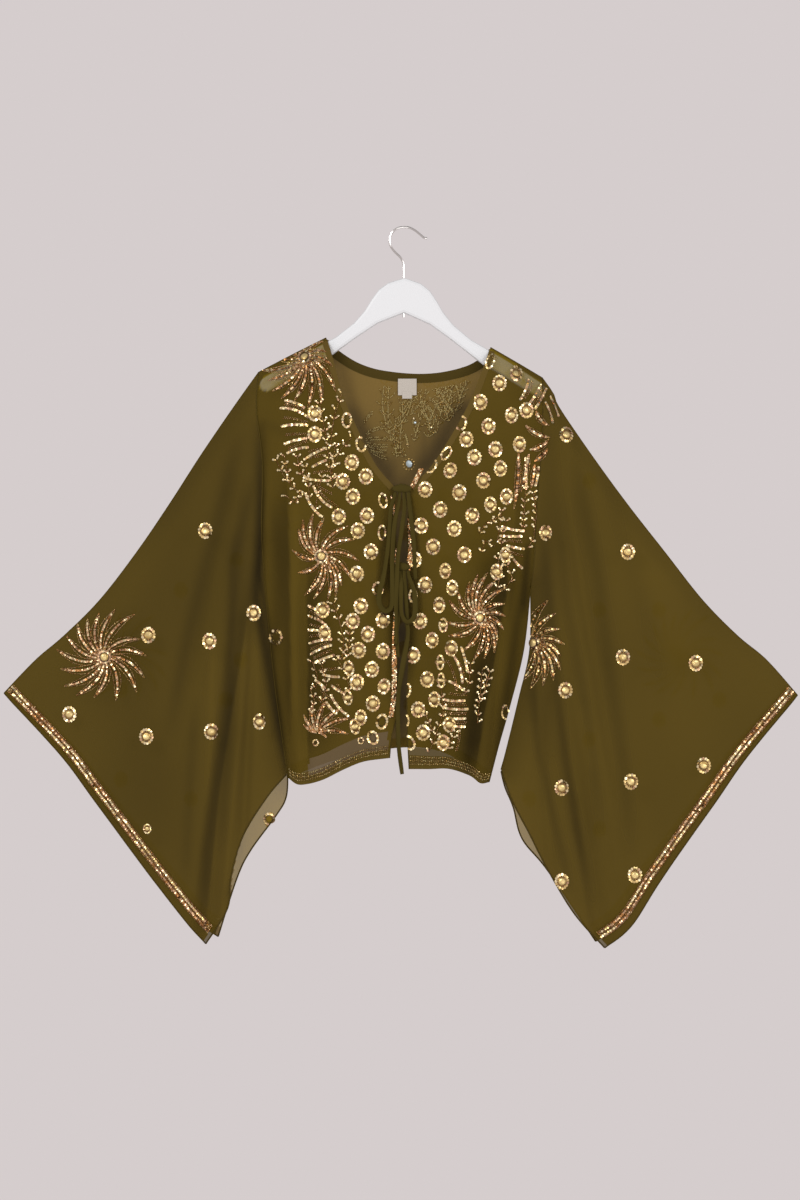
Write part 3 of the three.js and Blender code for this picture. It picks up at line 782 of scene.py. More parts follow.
BAND_STEPS = 60
HEM_SHARE = 0.03
HEM_LIFT = -1.2
HEM_SHARES = np.linspace(1 - HEM_SHARE, 1, 4)
# How far in from its edge each column of a band lies, and how far off the cloth
FRONT_BAND_INSETS = (-0.4, 2.4, 5.2, 8)
FRONT_BAND_LIFTS = np.array([0.0, 0.9, 0.9, 0.3])
NECK_BAND_INSETS = (-0.4, 4, 9, 13)
NECK_BAND_LIFTS = np.array([0.0, -0.9, -0.9, -0.4])
FRONT_ROLL = 0.7

for name, half in HALVES.items():
    cloth = BODY_FRONT[name]
    grid = front_grid(half, HEM_SHARES, spread(FRONT_COLUMNS))
    hem = strip("hem_front_" + name + "_cloth", cloth, grid, HEM_LIFT, hem_cloth)
    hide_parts("hem_front_" + name)
    grid = edge_band(Edge(half["neckline"]), np.linspace(0.02, 1, BAND_STEPS), FRONT_BAND_INSETS,
                     (half["sign"], 0))
    band = strip("neckline_band_" + name + "_cloth", cloth, grid, FRONT_BAND_LIFTS, facing_cloth,
                 flip=half["sign"] < 0)
    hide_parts("neckline_band_" + name)
    edge = TwoEdges(half["neckline"], half["opening"]).at(np.linspace(0.4, 1, 60))
    roll = sewn("front_edge_" + name, lofted(cloth, edge), FRONT_ROLL)

grid = back_grid(HEM_SHARES, np.linspace(0.02, 0.98, BACK_COLUMNS))
hem = strip("hem_back_cloth", BODY_BACK, grid, HEM_LIFT, hem_cloth)
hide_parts("hem_back")
grid = edge_band(Edge(BACK_NECK), np.linspace(0.015, 0.985, BAND_STEPS), NECK_BAND_INSETS, (0, -1))
neck_band = strip("neck_binding_cloth", BODY_BACK, grid, NECK_BAND_LIFTS, band_cloth)
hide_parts("neck_binding")


def inset_strip(grid, near, far, steps=4):
    """Points of a strip between two distances in from a grid's last column, in millimetres."""
    last = grid[:, -1]
    inward = unit(grid[:, -2] - last)
    places = np.linspace(0, 1, steps)
    near, far = np.broadcast_to(near, len(grid)), np.broadcast_to(far, len(grid))
    reach = near[:, None] + (far - near)[:, None] * places[None, :]
    return last[:, None, :] + inward[:, None, :] * reach[..., None]


CUFF_HEM_TOP, CUFF_HEM_FOOT = 6, 13
CUFF_HEM_ROWS = 70
CUFF_HEM_LIFT = HEM_LIFT * 0.6
MOUTH_ROLL = 1.1
CUFF_ROLL = 0.9
for name, half in HALVES.items():
    with_sleeve = []
    for face, side in FACES.items():
        cloth = SLEEVE[(name, side)]
        grid = sleeve_grid(half, face, np.linspace(0.004, 0.99, CUFF_HEM_ROWS), spread(40))
        grid = inset_strip(grid, 0.0, np.linspace(CUFF_HEM_TOP, CUFF_HEM_FOOT, CUFF_HEM_ROWS))
        hem = strip("cuff_hem_" + name + "_" + face, cloth, grid, CUFF_HEM_LIFT, cuff_cloth)
        mouth = Edge(half[face + "_mouth"]).at(np.linspace(0.01, 1, 50))
        cuff = Edge(half[face + "_cuff"]).at(np.linspace(1, 0.0, 60))
        edge = sewn("sleeve_edge_" + name + "_" + face, lofted(cloth, mouth), MOUTH_ROLL)
        rim = sewn("cuff_edge_" + name + "_" + face, lofted(cloth, cuff), CUFF_ROLL)
        with_sleeve += [hem, edge, rim]

# Sewn seams round the armholes and down the sides, and folded edges of the shoulder seams
ARMHOLE_SEAM = 0.85
EDGE_SEAM = 0.9
SEAM_LIFT = -0.2
for name, half in HALVES.items():
    armhole, body_side = Edge(half["armhole"]).at(spread(40)), Edge(half["side"]).at(spread(40))
    joined = np.vstack([armhole, body_side[1:]]) if half["sign"] < 0 else armhole
    for face, side in FACES.items():
        cloth = BODY_FRONT[name] if side < 0 else BODY_BACK
        line = lofted(cloth, joined + [half["sign"] * 0.2, 0], SEAM_LIFT)
        sewn("seam_" + name + "_" + face, line, ARMHOLE_SEAM)
    upper = np.vstack([Edge(half["shoulder"]).at(spread(20)), Edge(half["top_fold"]).at(spread(60))[1:]])
    under = Edge(half["underarm"]).at(spread(40)) + [half["sign"] * 0.4, 0]
    for kind, line in (("side", body_side), ("top", upper), ("under", under)):
        sewn(kind + "_seam_" + name, np.insert(line, 1, 0.0, axis=1), EDGE_SEAM)

# Ties: narrow strips of the same cloth with the photo's free ends
TIE_WIDTH = 5
TIE_THICK = 1.4
TIE_SWELL = 0.45
TIE_WAVE = 0.12
TIE_ROLL = 0.5
TIE_STEP = 3
ROLL_RUN, WAVE_RUN = 26, 21
# A tie's section, in shares of its width and thickness
TIE_SECTION = np.array([(-0.5, 0.1), (-0.25, 0.5), (0.0, 0.28), (0.25, 0.5), (0.5, 0.1), (0.5, -0.1),
                        (0.25, -0.5), (-0.25, -0.5), (-0.5, -0.1)])
# Each tie's middle line as [x, y, z] points, from its knot to its end
TIES = {
    "tie_upper_loop": [
        (-12, -24.6, -383.5), (-13, -25.5, -390), (-18, -30, -408), (-21, -31, -450),
        (-28, -31, -500), (-35, -31, -530), (-34, -31, -546), (-26, -31, -555),
        (-18, -31, -549), (-16.5, -31, -530), (-16, -31, -480), (-13, -31, -430),
        (-7, -29, -400), (-6, -25, -389), (-6, -24.6, -383.5),
    ],
    "tie_upper_end_left": [
        (1, -24.6, -383.5), (1, -25, -389), (1.5, -30, -408), (-3, -31, -440),
        (-8.5, -31, -480), (-10.5, -31, -530), (-10.5, -31, -570),
        (-11, -30.6, -603),
    ],
    "tie_upper_end_right": [
        (7, -24.6, -383.5), (7.4, -25, -389), (10, -27, -412), (14, -27, -450),
        (16, -27, -485), (17, -26.5, -510),
    ],
    "tie_lower_loop": [
        (-4.1, -25.6, -496.5), (-4.1, -26.5, -503), (-3.4, -31, -520),
        (-3.8, -31.5, -548), (-2, -31.5, -562), (5, -31.5, -571),
        (14.5, -31.5, -565), (17, -31.5, -550), (15, -31.5, -526), (9, -29.5, -509),
        (6.7, -26.2, -502), (6.7, -25.6, -496.5),
    ],
    "tie_lower_end_left": [
        (-12.2, -25.6, -496.5), (-12, -26, -503), (-10, -27.4, -525),
        (-8, -27.5, -560), (-10, -27.5, -585), (-8, -27.5, -622),
    ],
    "tie_lower_end_right": [
        (1.2, -25.6, -496.5), (1.3, -26, -503), (3, -27.4, -530),
        (5, -27.5, -570), (6, -28, -590), (-1, -28.5, -633), (-7, -28.5, -672),
        (-8, -28.5, -713), (-7, -28.5, -750), (-2, -28.5, -790),
    ],
}


def ribbon(name, rows, material):
    """A flat strip that keeps its face to the front and folds in a slight trough along its middle."""
    line = hermite(rows, 12)
    runs = reach_along(line)
    count = max(12, int(runs[-1] / TIE_STEP))
    line = at_reach(line, runs, np.linspace(0, runs[-1], count))
    along = unit(np.gradient(line, axis=0))
    side = unit(np.cross(along, [0.0, -1.0, 0.0]))
    start = line[0, 0]
    roll = TIE_ROLL * np.sin(np.linspace(0, runs[-1] / ROLL_RUN, count) + start)
    side, face = turned(side, np.cross(side, along), roll)
    swell = TIE_WIDTH * (1 + TIE_SWELL * np.sin(math.pi * np.linspace(0, 1, count)) ** 0.6
                         + TIE_WAVE * np.sin(np.linspace(0, runs[-1] / WAVE_RUN, count) + start))
    points = (line[:, None] + side[:, None] * (TIE_SECTION[None, :, 0] * swell[:, None])[..., None]
              + face[:, None] * (TIE_SECTION[:, 1] * TIE_THICK)[None, :, None])
    return mesh_object(name, points, ring_faces(count, len(TIE_SECTION)), material), line


for name, rows in TIES.items():
    tie, line = ribbon(name + "_strip", rows, tie_cloth)
    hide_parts(name)

# Knots, wrapped round the gathered cloth: middle x and z, width, height and depth
KNOTS = {
    "upper": (-2, -378, 28, 10, 6),
    "lower": (-3.5, -491, 25, 10, 6),
}
KNOT_SEAT = 21.6
# The wraps across a knot: how deep, how many, where they start and how far they bend
WRAPS = ((0.10, 5.0, 0.4, 1.6), (0.05, 11.0, 1.0, 2.5))
KNOT_RINGS, KNOT_SIDES = 18, 28


def wrapped_lump(name, middle, radii, material):
    """A rounded lump with soft wraps across it."""
    points = []
    for j in range(KNOT_RINGS + 1):
        polar = math.pi * j / KNOT_RINGS
        for i in range(KNOT_SIDES):
            turn = 2 * math.pi * i / KNOT_SIDES
            px, py, pz = math.cos(polar), math.sin(polar) * math.cos(turn), math.sin(polar) * math.sin(turn)
            grow = 1 + sum(size * math.sin(count * px + start + bend * pz)
                           for size, count, start, bend in WRAPS)
            points.append((middle[0] + radii[0] * px, middle[1] + radii[1] * py * grow,
                           middle[2] + radii[2] * pz * grow))
    return mesh_object(name, points, ring_faces(KNOT_RINGS + 1, KNOT_SIDES, capped=False), material)


for name, (x, z, width, height, depth) in KNOTS.items():
    knot = wrapped_lump("knot_" + name + "_cloth", (x, -KNOT_SEAT - depth / 2, z),
                        (width / 2 + 0.5, depth / 2 + 0.6, height / 2 + 1.2), tie_cloth)
    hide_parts("knot_" + name)

# Plain white label with its size tab, sewn inside the back neck: middle, top, width, height and lift
LABELS = {
    "label": (5.5, -217, 27, 24, -2.4),
    "label_tab": (5.2, -236, 14, 10, -2.9),
}
LABEL_PITCH, LABEL_BUMP = 0.7, 0.4
label_cloth, label_shader = principled("label", (0.50, 0.46, 0.40), 0.8)
weave(label_cloth, label_shader, LABEL_PITCH, LABEL_BUMP)
for name, (middle, top, wide, tall, lift) in LABELS.items():
    columns = middle + np.linspace(-wide / 2, wide / 2, 8)
    rows = top - np.linspace(0, tall, 6)
    grid = np.stack(np.meshgrid(columns, rows), -1)
    piece = strip(name + "_cloth", BODY_BACK, grid, lift, label_cloth)
    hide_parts(name)

# Beads and sequins, laid on the cloth in its own [x, z] and turned to its slope
FINISHES = [principled(*row)[0] for row in (
    ("sequin_gold", (0.80, 0.58, 0.25), 0.27, 1.0),
    ("sequin_pale", (0.88, 0.72, 0.42), 0.26, 1.0),
    ("sequin_rose", (0.640, 0.406, 0.231), 0.25, 1.0),
    ("bead_copper", (0.390, 0.185, 0.066), 0.32, 1.0),
    ("bead_bronze", (0.46, 0.31, 0.11), 0.40, 1.0),
    ("thread_dark", (0.060, 0.026, 0.008), 0.7),
    ("thread_gold", (0.47, 0.38, 0.15), 0.6),
    ("bead_glass", (0.62, 0.74, 0.78), 0.25, 0.3),
    ("dome_pale_gold", (0.76, 0.59, 0.26), 0.36, 0.85),
    ("cup_brown", (0.17, 0.095, 0.03), 0.5, 0.5),
)]
GOLD, PALE, ROSE, COPPER, BRONZE, DARK, THREAD, GLASS, PEARL, BROWN = range(len(FINISHES))


def dome_shape(sides, levels):
    """Rings of points at polar angles, closed by one point on top."""
    points, faces = [], []
    for polar in levels:
        for i in range(sides):
            turn = 2 * math.pi * i / sides
            points.append((math.sin(polar) * math.cos(turn), math.sin(polar) * math.sin(turn),
                           math.cos(polar)))
    points.append((0, 0, 1))
    for j in range(len(levels) - 1):
        for i in range(sides):
            k = (i + 1) % sides
            faces.append((j * sides + i, j * sides + k, (j + 1) * sides + k))
            faces.append((j * sides + i, (j + 1) * sides + k, (j + 1) * sides + i))
    last = (len(levels) - 1) * sides
    for i in range(sides):
        faces.append((last + i, last + (i + 1) % sides, len(points) - 1))
    return np.array(points, float), faces


def fan_shape(sides, rim, middle):
    """A shallow cup or a flat disc, from its rim's height and its middle's."""
    turns = [2 * math.pi * i / sides for i in range(sides)]
    points = [(math.cos(turn), math.sin(turn), rim) for turn in turns] + [(0, 0, middle)]
    return np.array(points, float), [(i, (i + 1) % sides, sides) for i in range(sides)]


# An eight-sided grain
GRAIN_SHAPE = (np.array([(1, 0, 0), (0, 1, 0), (-1, 0, 0), (0, -1, 0), (0, 0, 1), (0, 0, -1)], float),
               [(0, 1, 4), (1, 2, 4), (2, 3, 4), (3, 0, 4), (1, 0, 5), (2, 1, 5), (3, 2, 5), (0, 3, 5)])
SHAPES = {
    "sequin": fan_shape(8, 0.32, 0),
    "disc": fan_shape(12, 0.0, 0.1),
    "dome": dome_shape(12, [math.pi / 2, math.pi * 0.3, math.pi * 0.14]),
    "bead": dome_shape(6, [math.pi * 0.62, math.pi * 0.34]),
    "seed": GRAIN_SHAPE,
}


class Beadwork:
    """Marks on one layer of cloth, joined into one mesh."""

    def __init__(self, cloth, outline=None, lift=WALL / 2):
        self.cloth, self.outline, self.lift = cloth, outline, lift
        self.marks = {shape: [] for shape in SHAPES}

    def add(self, shape, place, size, finish, angle=0.0, high=0.3, lift=0.0, lean=0.0, jitter=12.0):
        """One mark, with a small random lean of its own."""
        wide, long = size if isinstance(size, tuple) else (size, size)
        sway = [math.radians(seed.gauss(0, jitter)) for _ in (0, 1)]
        self.marks[shape].append((place[0], place[1], wide / 2, long / 2, high, angle, lift,
                                  math.radians(lean) + sway[0], sway[1], finish))

    def inside(self, x, z):
        """Which places lie inside the outline."""
        if self.outline is None:
            return np.ones(len(x), bool)
        found = np.zeros(len(x), bool)
        for (ax, az), (bx, bz) in zip(self.outline, np.roll(self.outline, -1, axis=0)):
            spans = (az > z) != (bz > z)
            with np.errstate(divide="ignore", invalid="ignore"):
                found ^= spans & (x < (bx - ax) * (z - az) / (bz - az) + ax)
        return found

    def mesh(self, name):
        """All the marks as one mesh, each one standing on the cloth's own slope."""
        points, faces, kinds, start = [], [], [], 0
        side = self.cloth.side
        facing = -1 if self.lift < 0 else 1
        for shape, rows in self.marks.items():
            if not rows:
                continue
            data = np.array(rows, float)
            data = data[self.inside(data[:, 0], data[:, 1])]
            x, z, half_wide, half_long, high, turn, lift, lean, roll, finish = data.T
            dx, dz = self.cloth.slopes(x, z)
            one, none = np.ones_like(x), np.zeros_like(x)
            across = unit(np.stack([one, side * dx, none], -1))
            out = unit(np.cross(across, np.stack([none, side * dz, one], -1)) * -side * facing)
            up = np.cross(out, across) * -side * facing
            along, beside = turned(across, up, turn)
            long_axis, top = turned(along, out, lean)
            wide_axis, top = turned(beside, top, roll)
            base = self.cloth.at(x, z, self.lift + facing * lift)
            model, cells = SHAPES[shape]
            made = base[:, None]
            for axis, reach, k in ((long_axis, half_long, 0), (wide_axis, half_wide, 1), (top, high, 2)):
                made = made + axis[:, None] * (model[None, :, k] * reach[:, None])[..., None]
            places = start + np.arange(len(data))[:, None, None] * len(model) + np.array(cells)[None]
            faces += places.reshape(-1, 3).tolist()
            kinds += np.repeat(finish.astype(int), len(cells)).tolist()
            points.append(made.reshape(-1, 3))
            start += len(data) * len(model)
        piece = mesh_object(name, np.vstack(points), faces, FINISHES)
        piece.data.polygons.foreach_set("material_index", kinds)
        piece.data.polygons.foreach_set("use_smooth", np.zeros(len(faces), bool))
        return piece


def walk(points, spacing):
    """Even places along a line, each with its heading and share of the way."""
    points = np.asarray(points, float)
    runs = reach_along(points)
    count = max(2, int(round(runs[-1] / spacing)) + 1)
    where = np.linspace(0, runs[-1], count)
    x, z = at_reach(points, runs, where).T
    heading = np.arctan2(np.gradient(z), np.gradient(x))
    return list(zip(x, z, heading, where / runs[-1]))


def bent(start, end, bend, steps=14):
    """A curve between two points that swings to its left by a share of its length."""
    start, end = np.asarray(start, float), np.asarray(end, float)
    run = end - start
    middle = (start + end) / 2 + np.array([-run[1], run[0]]) * bend
    t = np.linspace(0, 1, steps)[:, None]
    return (1 - t) ** 2 * start + 2 * t * (1 - t) * middle + t * t * end


def oval(middle, across, tall, count, tilt=0.0, start=0.0):
    """Even places round a tilted oval, each with its number and its angle."""
    c, s = math.cos(tilt), math.sin(tilt)
    for k in range(count):
        angle = start + 2 * math.pi * k / count
        a, b = across * math.cos(angle), tall * math.sin(angle)
        yield k, angle, (middle[0] + a * c - b * s, middle[1] + a * s + b * c)


# The disc and the two domes in the middle of a roundel and of a burst: shape, width, height, finish,
# rise, lift off the cloth and how far they may lean by chance
ROUNDEL_HEART = (
    ("disc", 14.6, 16.4, BROWN, 0.2, 0.4, 0),
    ("dome", 11.8, 12.6, BRONZE, 1.2, 0.7, 5),
    ("dome", 10.0, 10.8, PEARL, 1.5, 1.2, 9),
)
BURST_HEART = (
    ("disc", 14.6, 14.6, DARK, 0.2, 1.3, 0),
    ("dome", 12.4, 12.4, BRONZE, 1.3, 1.5, 4),
    ("dome", 10.6, 10.6, PEARL, 1.6, 2.0, 4),
)


def heart(work, middle, parts, share=1.0, wide=1.0, tall=1.0, tilt=0.0):
    for shape, across, up, finish, high, lift, sway in parts:
        work.add(shape, middle, (across * share * wide, up * share * tall), finish, tilt, high, lift,
                 jitter=sway)


# A roundel's rings: how wide, how tall and how many marks. A narrow one has no collar of beads
SCALLOP_RADIUS, SCALLOP_TALL, SCALLOPS = 8.6, 1.16, 15
OPEN_WIDE, OPEN_TALL, OPEN_BEADS = 5.6, 6.2, 14
COLLAR_WIDE, COLLAR_TALL, COLLAR_BEADS = 6.4, 7.2, 13
COLLAR_LEAST = 0.65


def roundel(work, px, py, wide=1.0, tall=1.0, turn=0.0, open_ring=False, share=1.0):
    """A ring of scallop sequins round a polished dome, or round a ring of small dark beads."""
    middle, tilt = spot(px, py), math.radians(turn)
    start = seed.uniform(0, 2 * math.pi)
    radius = SCALLOP_RADIUS * share
    for k, angle, place in oval(middle, radius * wide, radius * SCALLOP_TALL * tall, SCALLOPS, tilt, start):
        kind = seed.choice((PALE, PALE, GOLD, GOLD, GOLD, ROSE))
        size = (4.5 * share, 4.3 * share * min(wide, tall) ** 0.5)
        work.add("sequin", place, size, kind, angle + tilt, 0.5, 0.3, lean=-10, jitter=13)
    if open_ring:
        ring = oval(middle, OPEN_WIDE * share * wide, OPEN_TALL * share * tall, OPEN_BEADS, tilt)
        for k, angle, place in ring:
            work.add("seed", place, 1.4, DARK if k % 3 else BRONZE, angle, 0.6, 0.3)
        return
    heart(work, middle, ROUNDEL_HEART[:1], share, wide, tall, tilt)
    if min(wide, tall) > COLLAR_LEAST:
        ring = oval(middle, COLLAR_WIDE * share * wide, COLLAR_TALL * share * tall, COLLAR_BEADS, tilt)
        for k, angle, place in ring:
            work.add("bead", place, 1.9 * share, COPPER if k % 3 else BRONZE, angle, 0.8, 0.6)
    heart(work, middle, ROUNDEL_HEART[1:], share, wide, tall, tilt)


def sequin_row(work, line, size=3.7, spacing=2.5, kinds=(ROSE, ROSE, PALE), taper=0.0):
    """Sequins one behind another along a line, narrower towards its ends where it tapers."""
    for x, z, heading, share in walk(line, spacing):
        wide = size * (1 - taper * abs(share - 0.55) * 1.6)
        work.add("sequin", (x, z), (max(1.6, wide), size), seed.choice(kinds), heading, 0.5, 0.6,
                 lean=12, jitter=13)


def bead_chain(work, line, size=1.9, spacing=2.0, kinds=(COPPER, COPPER, ROSE), zig=0.0):
    """Small beads along a line, or set to its left and right by turns."""
    for k, (x, z, heading, share) in enumerate(walk(line, spacing)):
        off = zig * (1 if k % 2 else -1)
        place = (x - off * math.sin(heading), z + off * math.cos(heading))
        work.add("seed", place, (size, size * 1.25), seed.choice(kinds), heading, 0.7, 0.5)


PETAL_KINDS = (ROSE, ROSE, COPPER, PALE, COPPER)


def petal(work, middle, width=3.6, size=3.6, spacing=2.2, kinds=PETAL_KINDS):
    """A row of sequins between two chains of beads that close at its tip."""
    line = np.asarray(middle, float)
    sequin_row(work, line[: max(3, int(len(line) * 0.9))], size, spacing, kinds, 0.3)
    ahead = unit(np.gradient(line, axis=0))
    beside = np.stack([-ahead[:, 1], ahead[:, 0]], -1)
    share = np.linspace(0, 1, len(line))
    swell = width * np.sin(np.clip(share, 0, 1) ** 0.8 * math.pi * 0.94 + 0.12)
    for hand in (-1, 1):
        bead_chain(work, line + beside * (hand * swell)[:, None], 1.7, 1.7, (COPPER, BRONZE, ROSE, GOLD))


BURST_RING, BURST_SEQUINS = 8.4, 15


def burst(work, px, py, petals, swirl=34.0, hub=10.0, centre=True, wide=4.6, kinds=PETAL_KINDS):
    """Curved petals round a dome, each by the heading of its tip, clockwise from up, and its pixels."""
    middle = spot(px, py)
    share = np.linspace(0, 1, 18)
    for heading, length in petals:
        reach = length * MM_PER_PIXEL
        radius = hub + (reach - hub) * share
        turn = np.radians(heading - swirl * (1 - share) ** 1.15)
        line = np.stack([middle[0] + radius * np.sin(turn), middle[1] + radius * np.cos(turn)], -1)
        petal(work, line, min(wide, 0.09 * reach), kinds=kinds)
    if not centre:
        return
    for k, angle, place in oval(middle, BURST_RING, BURST_RING, BURST_SEQUINS):
        work.add("sequin", place, 4.0, seed.choice((PALE, ROSE, ROSE)), angle, 0.5, 0.9, lean=8)
    heart(work, middle, BURST_HEART)


def stroke(work, ax, ay, bx, by, bend=0.12, size=4.1, outlined=False):
    """A curved row of sequins with a bright bead at its start, or with a chain of beads round it."""
    line = bent(spot(ax, ay), spot(bx, by), bend)
    if outlined:
        petal(work, line, width=4.2, size=size)
    else:
        sequin_row(work, line, size, 2.3, (ROSE, ROSE, PALE, GOLD, PALE))
        work.add("bead", line[0], 4.2, PALE, 0, 1.6, 0.6)


def zigzag(work, ax, ay, bx, by, bend=0.12):
    """A curved line of small beads that step from side to side."""
    bead_chain(work, bent(spot(ax, ay), spot(bx, by), bend), 1.9, 1.5, (COPPER, BRONZE, ROSE, ROSE), 1.15)


# A sprig's leaves: their angle from the stem, how many are missing, and where they and their tips lie
LEAF_ANGLE, LEAF_MISSING = 44.0, 0.14
LEAF_AT, TIP_AT = 0.75, 1.45


def sprig(work, stem, pairs, reach=5.4):
    """A stem of thin beads with leaves of bugle beads set in pairs, a bright bead at each tip."""
    line = np.array([spot(*p) for p in stem])
    bead_chain(work, line, 1.5, 1.5, (COPPER, BRONZE, ROSE))
    for x, z, heading, share in walk(line, run_length(line) / max(1, pairs - 1)):
        for hand in (-1, 1):
            if seed.random() < LEAF_MISSING:
                continue
            turn = heading + math.pi + hand * math.radians(LEAF_ANGLE + seed.uniform(-10, 10))
            length = reach * seed.uniform(0.8, 1.2)
            middle = (x + math.cos(turn) * length * LEAF_AT, z + math.sin(turn) * length * LEAF_AT)
            tip = (x + math.cos(turn) * length * TIP_AT, z + math.sin(turn) * length * TIP_AT)
            work.add("bead", middle, (3.0, length), seed.choice((ROSE, PALE, GOLD)), turn, 1.2, 0.5)
            work.add("bead", tip, 4.1, PALE, turn, 1.6, 0.6)


# Roundels: place in pixels, then width and height shares, turn in degrees and whether the ring is open
LEFT_FRONT_ROUNDELS = [
    (315, 414), (315, 435), (347, 421, 0.72, 1, 0, True), (361, 445, 0.72, 1, 12, True), (352, 463),
    (366, 477), (343, 482), (353, 497), (339, 517), (367, 516), (358, 531), (371, 552), (357, 574),
    (323, 610), (325, 633, 0.85), (361, 606), (353, 621), (383, 620), (368, 634), (359, 650),
    (383, 651), (372, 669), (349, 668, 0.72, 1, 12), (357, 682), (384, 686, 0.85, 1, -16),
    (373, 703), (348, 697, 0.6, 1, 8), (361, 717, 0.82), (355, 726, 0.7, 1, 10),
    (382, 721, 0.85, 1, -10, True), (373, 737, 0.8, 0.9, 20, True), (383, 501, 0.6, 1, 10, True),
    (382, 533, 0.55, 1, 0, True), (378, 589, 0.8, 0.9, 0, True), (276, 637, 1, 1, 0, True),
]
RIGHT_FRONT_ROUNDELS = [
    (490, 362, 0.62, 1.1, -20, True), (499, 384), (516, 374, 0.9), (480, 403), (511, 416, 0.9),
    (526, 411), (488, 427), (466, 440), (461, 424, 0.75, 1, -16, True), (495, 450), (519, 445, 0.9),
    (446, 454, 0.62, 1, -34, True), (474, 458), (500, 469, 0.9), (450, 471, 0.9, 1, -20),
    (431.5, 467, 0.6, 1, -34, True), (483, 481), (425, 490), (459, 493), (506, 497, 0.9),
    (490, 505, 0.85), (440, 510), (472, 516), (421, 526), (454, 529), (433, 547), (464, 555),
    (415, 560, 0.9), (445, 571, 0.8), (425, 585), (452, 588, 0.8), (413, 596, 0.6, 0.9, 0, True),
    (439, 605, 0.82), (420, 621), (443, 625, 0.6, 0.9, 0), (432, 640, 0.9), (413, 655),
    (451, 648, 0.9), (440, 662, 0.5), (427, 679), (441, 680, 0.48), (406, 690, 0.7, 1, -10),
    (434, 699, 0.8), (418, 709), (405, 720, 0.6, 0.9), (423, 732), (449, 724, 0.85), (443, 742, 0.9),
    (409, 742, 0.8, 1, 30, True), (505, 712, 0.55, 1, 0, True), (505, 555, 0.75), (496, 572, 0.85),
]
LEFT_SLEEVE_ROUNDELS = [
    (206, 531), (149, 635), (210, 641), (254, 613), (276, 637, 1, 1, 0, True), (70, 714), (147, 736),
    (212, 731), (260, 721, 0.85), (148, 828, 0.6, 0.6),
]
RIGHT_SLEEVE_ROUNDELS = [
    (566, 435), (545, 533, 0.85), (627, 552), (622, 657), (695, 663), (565, 690), (703, 765),
    (630, 781), (561, 787), (634, 874), (561, 880),
]
LEFT_SLEEVE_BACK_ROUNDELS = [
    (269, 821, 0.8), (236, 560), (120, 690), (180, 590), (225, 700), (190, 800), (120, 780), (240, 660),
]
RIGHT_SLEEVE_BACK_ROUNDELS = [
    (590, 480), (600, 610), (660, 610), (720, 700), (660, 720), (590, 740), (600, 830), (530, 800),
]


def place_roundels(work, rows):
    """All the roundels of a list. A small round one keeps its form and shrinks as a whole."""
    for px, py, *rest in rows:
        wide, tall, turn, open_ring = (*rest, *(1.0, 1.0, 0.0, False)[len(rest):])
        share = 1.0
        if wide == tall and wide < 0.7:
            wide, tall, share = 1.0, 1.0, wide
        roundel(work, px, py, wide, tall, turn, open_ring, share)


def place_all(motif, work, rows, **options):
    """The same kind of motif for each row of a list."""
    for row in rows:
        motif(work, *row, **options)


def ring_outline(grid):
    """The points round the rim of a grid."""
    return np.vstack([grid[0], grid[1:, -1], grid[-1, -2::-1], grid[-2:0:-1, 0]])


outlines = {name: ring_outline(front_grid(half, spread(24), spread(12))) for name, half in HALVES.items()}

# Left front: shoulder burst, comb of strokes, ferns, burst, lower comb and spray
left_work = Beadwork(BODY_FRONT["left"], outlines["left"])
place_roundels(left_work, LEFT_FRONT_ROUNDELS)
burst(left_work, 304.5, 357, [
    (252, 44), (236, 43), (222, 47), (208, 48), (192, 45), (176, 52), (160, 50), (138, 47), (110, 30),
    (78, 22), (50, 24), (20, 14), (300, 16), (275, 34),
], swirl=26)
burst(left_work, 321.5, 556.5, [
    (349, 43), (4, 38), (41, 40), (63, 37), (96, 37), (126, 36), (145, 35), (160, 42), (171, 43),
    (190, 43), (203, 42), (234, 28), (282, 29), (320, 35), (333, 40),
])
# Strokes and zigzags: both ends in pixels and how far the line bends
LEFT_STROKES = [
    (286, 401.5, 304.4, 408, 0.12), (281, 409, 308, 418, 0.2), (282.6, 427, 307.5, 426, 0.1),
    (285.6, 444.5, 307, 439, 0.08), (288, 453.6, 308, 448, 0.12), (305, 460, 326, 449, 0.08),
    (313.5, 467, 326, 461, 0.06), (304.4, 478.5, 330, 481, -0.08), (314, 487, 331.7, 507.6, -0.2),
    (306, 494, 322, 517, -0.16),
    (309, 606, 319, 612, 0.1), (309, 616, 326, 625, 0.12), (309, 630, 322, 631, 0.05),
    (310, 643, 331.5, 639, 0.08), (311, 654, 331, 645, 0.08), (315, 662.5, 334, 655, 0.06),
    (324, 674.5, 339, 676.5, -0.08), (316, 680, 325, 687.5, 0.08), (332.5, 685.5, 344.5, 693, -0.08),
    (331.5, 695, 348, 715, -0.14), (327, 702, 336, 712.5, -0.08),
]
place_all(stroke, left_work, LEFT_STROKES)
LEFT_ZIGZAGS = [
    (285, 405, 304.4, 411, 0.1), (284, 418.5, 307, 423, 0.1), (286, 435.5, 307, 435, 0.06),
    (288.6, 449.4, 308, 442, 0.08), (309, 452, 320, 450, 0), (308, 458.5, 325, 456, 0.05),
    (314, 473, 330, 471, 0), (315, 483, 332, 494, -0.1), (320, 492, 338, 507, -0.1),
    (310, 611, 322, 620, 0.1), (310, 624, 324, 628, 0), (310, 636, 326, 635, 0.05),
    (311, 649, 331, 642, 0.05), (314, 658, 332, 650, 0.05), (320, 669, 338, 668, -0.05),
    (322, 690, 338, 703, -0.1), (318, 696, 330, 708, -0.1), (338, 684, 350, 702, -0.15),
]
place_all(zigzag, left_work, LEFT_ZIGZAGS)
